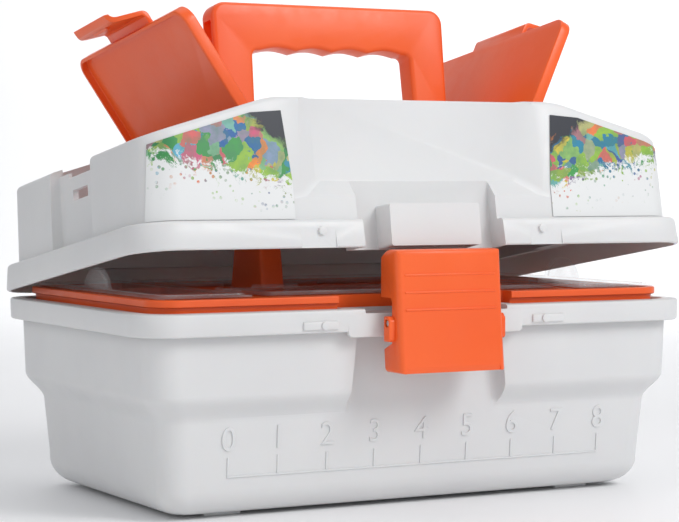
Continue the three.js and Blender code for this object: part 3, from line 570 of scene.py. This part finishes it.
def raised_number(number):
    """A numeral with a rounded edge, lying flat and centred across."""
    curve = bpy.data.curves.new("number", "FONT")
    curve.body = str(number)
    curve.align_x = "CENTER"
    curve.size = RULER_FONT
    curve.offset = -0.16
    curve.extrude = 0.35
    curve.bevel_depth = 0.16
    curve.bevel_resolution = 2
    letter = bpy.data.objects.new("number", curve)
    bpy.context.collection.objects.link(letter)
    mesh = bpy.data.meshes.new_from_object(letter.evaluated_get(bpy.context.evaluated_depsgraph_get()))
    bpy.data.objects.remove(letter)
    return mesh


def build_ruler():
    """Raised ticks and numbers, laid on the drafted front."""
    end = 4 * INCH + 0.5
    parts = [block(-end, end, -RULER_RAISE, RULER_ROOT, 0, 0.9, 0.3)]
    upright = Matrix.Rotation(HALF_TURN / 2, 4, "X")
    for k in range(9):
        x = (k - 4) * INCH
        parts.append(block(x - RULER_LINE, x + RULER_LINE, -RULER_RAISE, RULER_ROOT, 0.2, RULER_TICK, 0.3))
        number = raised_number(k)
        number.transform(Matrix.Translation((x, 0, RULER_TICK + RULER_GAP)) @ upright)
        parts.append(number)
    whole = bmesh.new()
    for part in parts:
        whole.from_mesh(part)
    mesh = bpy.data.meshes.new("ruler")
    whole.to_mesh(mesh)
    whole.free()
    lean = Matrix.Rotation(math.atan(DRAFT), 4, "X")
    place = TUB_PLACE @ Matrix.Translation((0, -RULER_Y, RULER_Z)) @ lean
    piece("ruler_marks", mesh, place, "base", WHITE)


# ---------------------------------------------------------------- lid
def shoulder_z(x):
    return PLATEAU_Z - (x - PLATEAU_X) * SHOULDER_SLOPE


def lid_sections(grow=0.0):
    top = PLATEAU_Z + 4
    lean = (top - FLANGE_BOTTOM) * LID_DRAFT
    return [(FLANGE_BOTTOM, LID_X + grow, LID_Y + grow, LID_R + grow),
            (top, LID_X - lean + grow, LID_Y - lean + grow, LID_R + grow)]


def roof(drop, blend=7.0):
    """The lid's roof line seen from the front, with soft bends where the shoulders start."""
    half = PLATEAU_X - drop * math.tan(SHOULDER_ANGLE / 2)
    z = PLATEAU_Z - drop
    fall = (ROOF_END - PLATEAU_X) * SHOULDER_SLOPE
    foot = FLANGE_BOTTOM - 5
    right = [(half - blend, z)]
    right += bow((half - blend, z), (half, z), (half + blend, z - blend * SHOULDER_SLOPE), 6)
    left = [(-x, h) for x, h in reversed(right)]
    return [(-ROOF_END, foot), (-ROOF_END, z - fall), *left, *right, (ROOF_END, z - fall), (ROOF_END, foot)]


def sunk_panel(grow=0.0):
    back = -LID_Y + PANEL_DEPTH + grow
    rings = []
    for y in (back, -LID_Y - 6):
        spread = (back - y) * PANEL_BEVEL / PANEL_DEPTH - PANEL_BEVEL
        half = PANEL_X + grow + spread
        low = PANEL_SILL - grow - spread * 0.76
        rings.append(ring_xz(-half, half, low, PLATEAU_Z + 40, 3.5, y))
    return loft(rings)


def lid_outer():
    body = soften(common(tub(lid_sections()), prism(roof(0), "y", -120, 120)), 2.2, 3)
    outline = [(FLANGE_BOTTOM, -0.9), (FLANGE_BOTTOM + 0.4, -0.3), (FLANGE_BOTTOM + 1, 0),
               (FLANGE_TOP - 1.6, -1.0), (FLANGE_TOP - 0.6, -1.5), (FLANGE_TOP - 0.1, -2.3),
               (FLANGE_TOP, -3.2)]
    flange = loft([ring(FLANGE_X + o, FLANGE_Y + o, FLANGE_R + o, z) for z, o in outline])
    return body, flange


def lid_hollow():
    body = common(tub(lid_sections(-WALL)), prism(roof(WALL), "y", -120, 120))
    half_x, half_y = FLANGE_X - LID_WALL, FLANGE_Y - LID_WALL
    flange = loft([ring(half_x, half_y, FLANGE_R - 1, FLANGE_BOTTOM - 1),
                   ring(half_x - 1.1, half_y - 1.1, FLANGE_R - 1, FLANGE_TOP - 2)])
    front = PANEL_DEPTH + WALL - LID_Y
    bay = block(-BAY - WALL, BAY + WALL, -FLANGE_Y - 2, front, FLANGE_BOTTOM - 3, PANEL_SILL + 12)
    return cut(add(body, flange), sunk_panel(WALL), bay)


def bin_block():
    walls = block(PLATEAU_X - 1, LID_X, -BIN_Y, BIN_Y, BIN_BOTTOM, PLATEAU_Z)
    backing = block(BACKING_X, LID_X, -BACKING_Y, BACKING_Y, FLANGE_TOP - 2, BACKING_TOP)
    inside = common(tub(lid_sections(-1)), prism(roof(1), "y", -100, 100))
    return common(add(walls, backing), inside)


def bin_cuts():
    rebate = FLAP_HALF + 0.7
    start = PLATEAU_X - 1.9
    pocket = [(start, PLATEAU_Z - 9.4), (BIN_IN, shoulder_z(BIN_IN) - 8.6),
              (BIN_OUT, shoulder_z(BIN_OUT) - 7.4), (BIN_OUT, ABOVE_LID), (start, ABOVE_LID)]
    well = [(135, shoulder_z(135) - 3.4), (150, shoulder_z(150) - 3.4), (150, ABOVE_LID), (135, ABOVE_LID)]
    levels = ((128.4, 2.2), (129.2, 0.9), (130.8, 0.2), (170, 0))
    return [
        prism(pocket, "y", -rebate, rebate),
        prism(well, "y", -TONGUE_WELL, TONGUE_WELL),
        loft([ring(25.2 - t, 60.5 - t, 6, z, centre=(111.2, 0)) for z, t in levels]),
        block(139, 160, -TONGUE_WELL, TONGUE_WELL, FLANGE_TOP, 170, 0.8),
        block(135.4, 160, -14, 14, 143.4, 170, 0.8),
        block(135.4, 160, -9.4, 9.4, 131.8, 137, 0.5),
        rod("y", -FLAP_HALF - 4, FLAP_HALF + 4, FLAP_X, PLATEAU_Z - FLAP_DROP, 1.5),
    ]


def lid_knuckle():
    outline = [(FLANGE_Y - 1.6, FLANGE_TOP - 1), (FLANGE_Y - 1.6, FLANGE_BOTTOM + 2.6),
               (HINGE_Y - HINGE_R, FLANGE_BOTTOM + 2.6)]
    outline += arc(HINGE_Y, HINGE_Z, HINGE_R, 180, 450, 24) + [(FLANGE_Y + 1, FLANGE_TOP - 1)]
    return prism(outline, "x", HINGE_X - KNUCKLE_HALF, HINGE_X + KNUCKLE_HALF, 0.4)


def handle_lug():
    outline = [(-8, PLATEAU_Z - 1), (8, PLATEAU_Z - 1)] + arc(0, HANDLE_PIVOT, HANDLE_LUG_R, 0, 180, 16)
    x = HANDLE_OUTER + HANDLE_LUG_AWAY
    lug = prism(outline, "x", x - HANDLE_LUG_HALF, x + HANDLE_LUG_HALF, 0.6)
    return cut(lug, rod("x", x - 6, x + 6, 0, HANDLE_PIVOT, HANDLE_BORE))


def catch_boss():
    """The hollow boss that the latch hooks over."""
    boss = loft([ring_xz(-24.4, 24.4, 95.9, 115.7, 1.2, y) for y in (-95, -94.4)]
                + [ring_xz(-24.9, 24.9, 95.5, 116.3, 1.6, PANEL_DEPTH - LID_Y + 1)])
    return cut(boss, block(-21.5, 21.5, -93, -84.5, 93, 113.4))


def build_lid():
    body, flange = lid_outer()
    bay = block(-BAY, BAY, -FLANGE_Y - 4, PANEL_DEPTH - LID_Y, FLANGE_BOTTOM - 3, PANEL_SILL + 9, 0.8)
    notches = pair(block(LOCATOR_IN, LOCATOR_OUT, -110, 0.8 - FLANGE_Y, 90, FLANGE_TOP - 2.6, 0.5))
    knobs = pair(rod("y", -FLANGE_Y - 0.6, -FLANGE_Y + 2, LOCATOR_KNOB, 103.4, 2.0, 24, 0.3))
    shell = cut(add(body, flange), lid_hollow())
    shell = cut(shell, sunk_panel(), bay, *notches)
    shell = add(shell, catch_boss(), *pair(bin_block()), *knobs)
    cuts = []
    for tool in bin_cuts():
        cuts += pair(tool)
    shell = cut(shell, *cuts)
    shell = cut(add(shell, *pair(lid_knuckle()), *pair(handle_lug())), *hinge_bores())
    nodes = ["lid_shell", "lid_catch"]
    piece("lid_moulding", merge_flat(shell), LID_PLACE, "lid", WHITE, nodes)


def build_label(side):
    skin = cut(tub(lid_sections(0.55)), tub(lid_sections(0.3)))
    low, inner, margin = FLANGE_TOP + 0.8, 70.6, 4.6
    outline = [(inner, low), (142, low), (139.5, shoulder_z(139.5) - margin),
               (90, shoulder_z(90) - margin), (74, shoulder_z(90) - margin + 1.2), (inner, PANEL_SILL + 6)]
    label = common(skin, prism(outline, "y", -120, -60))
    word = side_name(side)
    if side < 0:
        label = mirrored(label)
    film = printed_film(f"printed_film_{word}", side)
    piece(f"label_film_{word}", merge_flat(label), LID_PLACE, "lid", film, f"label_{word}")


# ---------------------------------------------------------------- handle
def handle_outline():
    """The handle seen from the front: two legs and a grip with four finger scallops."""
    foot = HANDLE_PIVOT - HANDLE_DEPTH / 2
    corner = HANDLE_CORNER
    outline = [(-HANDLE_OUTER + 1, foot)]
    outline += arc(-HANDLE_OUTER + corner, HANDLE_TOP - corner, corner, 180, 90)
    outline += arc(HANDLE_OUTER - corner, HANDLE_TOP - corner, corner, 90, 0)
    outline += [(HANDLE_OUTER - 1, foot), (HANDLE_INNER, foot)]
    outline += arc(HANDLE_INNER - 3.8, HANDLE_UNDER - 3, 3, 0, 90, 5)
    grip = HANDLE_INNER - 5
    scallop = grip / 2
    for k in range(4):
        right = grip - k * scallop
        for t in [i / 10 for i in range(10)]:
            outline.append((right - scallop * t, HANDLE_UNDER + SCALLOP_DEPTH * math.sin(HALF_TURN * t)))
    outline += [(-grip, HANDLE_UNDER)] + arc(3.8 - HANDLE_INNER, HANDLE_UNDER - 3, 3, 90, 180, 5)
    return outline + [(-HANDLE_INNER, foot)]


def build_handle():
    half = HANDLE_DEPTH / 2
    bar = soften(prism(handle_outline(), "y", -half, half), 2.2, 4, 60)
    side = arc(0, HANDLE_PIVOT, half, 180, 360, 20) + [(half, HANDLE_TOP + 5), (-half, HANDLE_TOP + 5)]
    low, high = HANDLE_PIVOT + 9, HANDLE_TOP - 9
    channels = pair(block(HANDLE_OUTER - 4, HANDLE_OUTER + 4, -4.2, 4.2, low, high, 0.9))
    bores = pair(rod("x", 50, 72, 0, HANDLE_PIVOT, HANDLE_BORE))
    shell = cut(common(bar, prism(side, "x", -80, 80)), *channels, *bores)
    piece("carry_handle", merge_flat(shell), LID_PLACE, "handle", ORANGE, "handle", 40)


# ---------------------------------------------------------------- flaps, drawn shut on the right
def flap_outline(start, inset):
    half = FLAP_HALF - inset
    corner, radius = FLAP_CORNER, FLAP_CORNER - inset
    return ([(start, -half)] + arc(FLAP_LENGTH - corner, corner - FLAP_HALF, radius, -90, 0, 12)
            + arc(FLAP_LENGTH - corner, FLAP_HALF - corner, radius, 0, 90, 12) + [(start, half)])


def along(x, n):
    """How far from the flap's axis a lid x lies, at height n over the shut flap's axis."""
    return (x - FLAP_X) / math.cos(SHOULDER_ANGLE) - n * SHOULDER_SLOPE


def at(x, n):
    return (along(x, n), n)


def flap_tongue(top, under):
    """The hooked tongue at the flap's outer end."""
    low = top - TONGUE_DROP
    crown = along(TONGUE_OUT, top)
    heel, brow = at(TONGUE_IN, low + 3), at(TONGUE_OUT, top - 3)
    toe = at(TONGUE_OUT + 2.4, low + 1.6)
    profile = [(FLAP_LENGTH - 3, under), (along(TONGUE_IN, under) - 1, under), at(TONGUE_IN, under - 1), heel]
    profile += bow(heel, at(TONGUE_IN, low + 0.6), at(TONGUE_IN + 3, low), 6)
    profile += [at(TONGUE_OUT + 2.6, low), toe]
    profile += bow(toe, at(TONGUE_OUT, low + 2), at(TONGUE_OUT, low + 5), 6)
    profile += [brow] + bow(brow, (crown, top), (crown - 3, top), 8) + [(FLAP_LENGTH - 3, top)]
    tongue = prism(profile, "y", -TONGUE_HALF - 2, TONGUE_HALF + 2)
    # Seen from outside the tongue narrows and has rounded corners at its lip.
    reach = along(TONGUE_OUT + 3, low) + 4
    start, bend = FLAP_LENGTH - 5, FLAP_LENGTH + 1
    plan = [(start, -26), (start, 26), (bend, 24.8), (reach, 24.2), (reach, -24.2), (bend, -24.8)]
    widths = [(low - 2, 17), (low + 1.2, 21), (low + 5, 23.6), (top + 2, 24.6)]
    front = [Vector((reach, y, n)) for n, y in widths] + [Vector((reach, -y, n)) for n, y in reversed(widths)]
    back = [Vector((FLAP_LENGTH - 6, p.y, p.z)) for p in front]
    return soften(common(tongue, prism(plan, "z", low - 4, top + 4), loft([back, front])), 0.35, 2, 50)


def build_flap(side):
    top = FLAP_DROP * math.cos(SHOULDER_ANGLE) - 0.3
    under = top - FLAP_PLATE
    shell = soften(prism(flap_outline(1, 0), "z", top - FLAP_SKIRT, top), 0.7, 3)
    hollow = soften(prism(flap_outline(-8, 1.8), "z", top - 20, under), 0.6, 3)
    turn = Matrix.Diagonal((1, -1, 1, 1))
    barrels = []
    for part in (rod("y", 31, 59, 0, 0, 2.9, 32, 0.3), block(0, 4, 31, 59, 0, top - 0.15)):
        other = part.copy()
        other.transform(turn)
        barrels += [part, tidy(other)]
    nib = top - 14.6
    bump = prism([at(TONGUE_IN + 0.6, nib + 1.6), at(TONGUE_IN - 1, nib + 0.4),
                  at(TONGUE_IN - 1, nib - 0.4), at(TONGUE_IN + 0.6, nib - 1.6)], "y", -8, 8)
    bore = rod("y", -80, 80, 0, 0, 1.5, 20)
    shell = cut(add(cut(shell, hollow), flap_tongue(top, under), bump, *barrels), bore)
    name = f"flap_{side_name(side)}"
    piece(f"bin_{name}", merge_flat(shell), flap_place(side), name, ORANGE, name)


# ---------------------------------------------------------------- latch, drawn about its pin
def latch_body(face, foot, head):
    """The rocker's solid outline, before it is hollowed."""
    brow = face[-1]
    outline = face + bow(brow, (-3.4, head), (-0.6, head), 6)
    outline += [(5, head), (10.6, head - 4), (10.6, 11.6), (1.6, 11.6), (0.4, 9.6), (0.4, -9.4),
                (7.4, -12.4), (6.4, foot)]
    body = prism(outline, "x", -LATCH_X, LATCH_X)
    # The face leans, and its upright edges and lower corners are rounded.
    reach = 30
    rings = [ring(LATCH_X, reach - y, 3, z, centre=(0, reach)) for y, z in face]
    rings.append(ring(LATCH_X, reach + 3.5, 3, head + 0.01, centre=(0, reach)))
    front = moved(prism(rounded(LATCH_X, (head - foot) / 2, 2.2, 8), "y", -20, 20), z=(head + foot) / 2)
    return soften(common(body, loft(rings), front), 0.5, 2, 50)


def build_latch():
    foot = LATCH_BOTTOM - LATCH_Z
    head = LATCH_TOP - LATCH_Z
    face = [(-8.4, foot)] + bow((-8.4, foot), (-5.4, 0), (-3.6, head - 3), 14)
    low = (-6.2, foot - 1)
    pocket = [low] + bow(low, (-3.4, 0), (-1.3, head - 5.6), 14) + [(14, head - 5.6), (14, foot - 1)]
    inner = LATCH_X - LATCH_WALL
    ear = [(2.8, 3.2), (-1, 3.2)] + arc(-1, 0.6, 1.6, 120, 180, 5) + [(-2.6, -7.4), (-1.8, -8.5), (2.8, -8.5)]
    ears = pair(prism(ear, "x", LATCH_X - 1, LATCH_X + 3.1, 0.5))
    ridges = []
    for k in range(3):
        z = 22.6 - k * 8
        y = -4.1 - k * 0.66
        ridges.append(block(4 - LATCH_X, LATCH_X - 4, y - 0.35, y + 0.9, z - 1.0, z, 0.3, 3))
    # A shallow bevel is pressed across the foot between its lower corners.
    bevel = prism([(-9.6, foot - 1), (-7.3, foot - 1), (-8.05, foot + 2.6), (-9.6, foot + 2.6)], "x",
                  3 - LATCH_X, LATCH_X - 3)
    behind_hook = block(-inner, inner, LATCH_HOOK, 14, head - 6.6, head + 1)
    shell = cut(latch_body(face, foot, head), prism(pocket, "x", -inner, inner), behind_hook, bevel)
    shell = cut(add(shell, *ears, *ridges), rod("x", -40, 40, 0, 0, LATCH_BORE))
    piece("latch_rocker", merge_flat(shell), LATCH_PLACE, "latch", ORANGE, "latch", 40)


# ---------------------------------------------------------------- tray and its covers
def tray_cells(notch_y):
    """The compartments: three in each wing and each middle row, and three between the spines."""
    def cell(x0, x1, y0, y1):
        return loft([ring((x1 - x0) / 2, (y1 - y0) / 2, 3, z, ((x0 + x1) / 2, (y0 + y1) / 2), 5)
                     for z in (TRAY_BOTTOM + TRAY_WALL, TRAY_TOP + 5)])

    half = TRAY_WALL / 2
    channel = SPINE - half
    cells = []
    for low, high in zip(TRAY_SPLITS, TRAY_SPLITS[1:]):
        a, b = low + half, high - half
        cells += [cell(-150, -TRAY_WING, a, b), cell(TRAY_WING, 150, a, b),
                  cell(a, b, notch_y + TRAY_WALL, -SPINE - half), cell(a, b, SPINE + half, 90)]
    for x0, x1 in ((-38, 38), (-83, -58), (58, 83)):
        cells.append(cell(x0, x1, -channel, channel))
    return add(*cells)


def build_tray():
    half_x, half_y = TRAY_X - TRAY_LEAN, TRAY_Y - TRAY_LEAN
    outer = tub([(TRAY_BOTTOM, half_x - 1.6, half_y - 1.6, TRAY_R - 1),
                 (TRAY_BOTTOM + 0.6, half_x - 0.5, half_y - 0.5, TRAY_R),
                 (TRAY_BOTTOM + 2, half_x, half_y, TRAY_R),
                 (TRAY_TOP, TRAY_X, TRAY_Y, TRAY_R)])
    rim = [(TRAY_TOP - 3.6, TRAY_RIM - 0.5), (TRAY_TOP - 3.2, TRAY_RIM), (TRAY_TOP - 0.6, TRAY_RIM),
           (TRAY_TOP - 0.15, TRAY_RIM - 0.3), (TRAY_TOP, TRAY_RIM - 0.8)]
    lip = loft([ring(TRAY_X + o, TRAY_Y + o, TRAY_R + o, z) for z, o in rim])
    notch_y = -LOWER_Y + WALL + 1.6
    notch = block(-TRAY_NOTCH_HALF, TRAY_NOTCH_HALF, -120, notch_y, 40, 120, 1.5, 3)
    wall = TRAY_WALL
    inside = tub([(TRAY_BOTTOM + wall, half_x - wall, half_y - wall, TRAY_R - wall),
                  (TRAY_TOP + 5, TRAY_X - wall, TRAY_Y - wall, TRAY_R - wall)])
    sockets = pair(block(POST_X - 6.6, POST_X + 6.6, -16, 16, 90, 120))
    shell = cut(cut(add(outer, lip), notch), common(tray_cells(notch_y), inside), *sockets)
    walls = [node for node in frame["nodes"] if node.startswith(("tray_wall", "tray_spine", "tray_divider"))]
    nodes = ["tray", *walls]
    piece("tackle_tray", merge_flat(shell), TUB_PLACE, "tray", ORANGE, nodes)


def build_tray_handle():
    levels = ((90.5, 6.2, 15.6), (101.4, 6.2, 15.6), (101.4, 6.4, 18), (102.6, 6.3, 17.8), (129.2, 5.8, 14),
              (130, 5.2, 13.4))
    posts = [loft([ring(x, y, 2, z, (side * POST_X, 0), 6) for z, x, y in levels]) for side in (-1, 1)]
    grip = block(-46, 46, -8, 8, 121, 130, 2, 3)
    piece("tray_lifter", add(*posts, grip), TUB_PLACE, "tray", ORANGE, "tray_handle")


def cover_plate(half_x, half_y):
    """A thin clear lid with a raised bead just inside its edge."""
    z = COVER_Z
    levels = ((z, -0.3), (z + 0.3, 0), (z + 0.9, 0), (z + 1.1, -0.3))
    plate = loft([ring(half_x + o, half_y + o, 3 + o, h) for h, o in levels])
    levels = ((z + 0.8, 0), (z + 1.7, -0.4))
    outer = loft([ring(half_x - 2.5 + o, half_y - 2.5 + o, 3, h) for h, o in levels])
    inner = loft([ring(half_x - 4.6, half_y - 4.6, 2, h) for h in (z + 0.5, z + 2.2)])
    return add(plate, cut(outer, inner))


def cover_barrels(axis, across):
    """Two hinge barrels along an axis, centred on it, at a distance across."""
    return [rod(axis, t - 12, t + 12, across, COVER_Z + BARREL_R, BARREL_R, 20, 0.2) for t in (-50, 50)]


def place_cover(word, shell):
    node = f"tray_cover_{word}"
    piece(f"clear_lid_{word}", shell, TUB_PLACE, node, CLEAR, node)


def half_oval(half_width, height, base):
    return [(half_width * math.cos(t), base + height * math.sin(t))
            for t in [HALF_TURN * i / 28 for i in range(29)]]


def build_side_cover(side):
    plate = moved(cover_plate((COVER_OUT - COVER_IN) / 2, 79.4), x=(COVER_OUT + COVER_IN) / 2)
    tab = prism(half_oval(15.5, 10.8, COVER_Z + 1), "x", 132.2, 134.0, 0.3)
    tab = cut(tab, prism(half_oval(13.6, 9.2, COVER_Z + 0.4), "x", 133.2, 136))
    shell = add(plate, tab, *cover_barrels("y", COVER_IN - 0.6))
    place_cover(side_name(side), mirrored(shell) if side < 0 else shell)


def build_middle_cover(word, depth, side):
    plate = moved(cover_plate(79.5, depth / 2), y=side * (COVER_HINGE + depth / 2))
    place_cover(word, add(plate, *cover_barrels("x", side * COVER_HINGE)))


# ---------------------------------------------------------------- pins
def build_pins():
    """Drawn rods with rounded ends at every pivot."""
    for side, word in ((-1, "left"), (1, "right")):
        x = side * HINGE_X
        hinge = rod("x", x - 20.5, x + 20.5, HINGE_Y, HINGE_Z, 1.6, 24, 0.4)
        piece(f"hinge_rod_{word}", hinge, TUB_PLACE, "base", STEEL, f"hinge_pin_{word}")
        low, high = sorted((side * 53, side * 73.8))
        rivet = rod("x", low, high, 0, HANDLE_PIVOT, 1.9, 24, 0.5)
        piece(f"handle_rivet_{word}", rivet, LID_PLACE, "lid", STEEL, f"handle_pivot_{word}")
        reach = FLAP_HALF + 3.4
        flap = rod("y", -reach, reach, side * FLAP_X, PLATEAU_Z - FLAP_DROP, 1.1, 20, 0.3)
        piece(f"flap_rod_{word}", flap, LID_PLACE, "lid", STEEL, f"flap_pin_{word}")
    latch = rod("x", -31, 31, 0, 0, 1.5, 24, 0.4)
    piece("latch_rod", latch, LATCH_PLACE, "base", STEEL, "latch_pin")


build_tub()
build_ruler()
build_lid()
for side in (-1, 1):
    build_label(side)
    build_flap(side)
    build_side_cover(side)
build_handle()
build_latch()
build_tray()
build_tray_handle()
build_middle_cover("front", FRONT_DEPTH, -1)
build_middle_cover("rear", REAR_DEPTH, 1)
build_pins()


# ---------------------------------------------------------------- floor, light and camera
CAMERA_TURN = -math.radians(28.39)
CAMERA_PITCH = math.radians(2.12)
CAMERA_SPOT = Vector((-523.7, -963.1 + TUB_OFFSET, 154.5)) * MM
SWEEP_START, SWEEP_RADIUS, SWEEP_TOP, SWEEP_HALF = 2.0, 0.8, 4.0, 4
MIDDLE = (0, 0, 0.11)
LIGHTS = (
    ("key", (0.75, -1.35, 1.25), MIDDLE, (0.8, 0.8), 17),
    ("fill", (-1.5, -0.7, 0.9), MIDDLE, (1.4, 1.4), 4.6),
    ("top", (0.1, 0.35, 1.7), MIDDLE, (1.6, 1.2), 6.6),
    ("low_front", (0.1, -1.6, 0.25), MIDDLE, (1.6, 0.5), 1.2),
    ("backdrop", (1.0, 1.2, 1.6), (1.6, 2.6, 0.5), (1.6, 1.0), 22),
)


def add_floor():
    """A pale floor that sweeps up into a backdrop behind the box."""
    paint = Paint("pale_floor", Roughness=0.6)
    shades = [(0.3, rgb(244, 244, 245)), (0.7, rgb(248, 248, 249))]
    paint.wire(paint.ramp(paint.noise(2.0), shades), "Base Color")
    rows = [(-3.0, 0.0), (SWEEP_START, 0.0)]
    for t in [HALF_TURN / 2 * i / 16 for i in range(1, 17)]:
        rows.append((SWEEP_START + SWEEP_RADIUS * math.sin(t), SWEEP_RADIUS - SWEEP_RADIUS * math.cos(t)))
    rows.append((SWEEP_START + SWEEP_RADIUS, SWEEP_TOP))
    work = bmesh.new()
    strips = [[work.verts.new((x, y, z)) for x in (-SWEEP_HALF, SWEEP_HALF)] for y, z in rows]
    for (a, b), (c, d) in zip(strips, strips[1:]):
        work.faces.new((a, b, d, c))
    mesh = bpy.data.meshes.new("sweep")
    work.to_mesh(mesh)
    work.free()
    mesh.materials.append(paint.material)
    floor = bpy.data.objects.new("floor", mesh)
    floor.rotation_euler.z = CAMERA_TURN
    bpy.context.collection.objects.link(floor)
    mesh.shade_smooth()


def add_light(name, spot, target, size, power):
    data = bpy.data.lights.new(name, "AREA")
    data.shape = "RECTANGLE"
    data.size, data.size_y = size
    data.energy = power
    light = bpy.data.objects.new(name, data)
    light.location = spot
    light.rotation_euler = (Vector(target) - Vector(spot)).to_track_quat("-Z", "Y").to_euler()
    bpy.context.collection.objects.link(light)


def add_camera():
    data = bpy.data.cameras.new("camera")
    data.lens = 114.95
    data.sensor_width = 36
    data.shift_x = 0.003
    data.shift_y = -0.0007
    data.clip_start = 0.05
    camera = bpy.data.objects.new("camera", data)
    camera.location = CAMERA_SPOT
    camera.rotation_euler = (HALF_TURN / 2 - CAMERA_PITCH, 0, CAMERA_TURN)
    bpy.context.collection.objects.link(camera)
    bpy.context.scene.camera = camera


add_floor()
for light in LIGHTS:
    add_light(*light)
world = bpy.data.worlds.new("studio")
world.use_nodes = True
world.node_tree.nodes["Background"].inputs["Color"].default_value = (0.95, 0.97, 1.0, 1)
world.node_tree.nodes["Background"].inputs["Strength"].default_value = 0.42
bpy.context.scene.world = world
bpy.context.scene.view_settings.view_transform = "Standard"
add_camera()
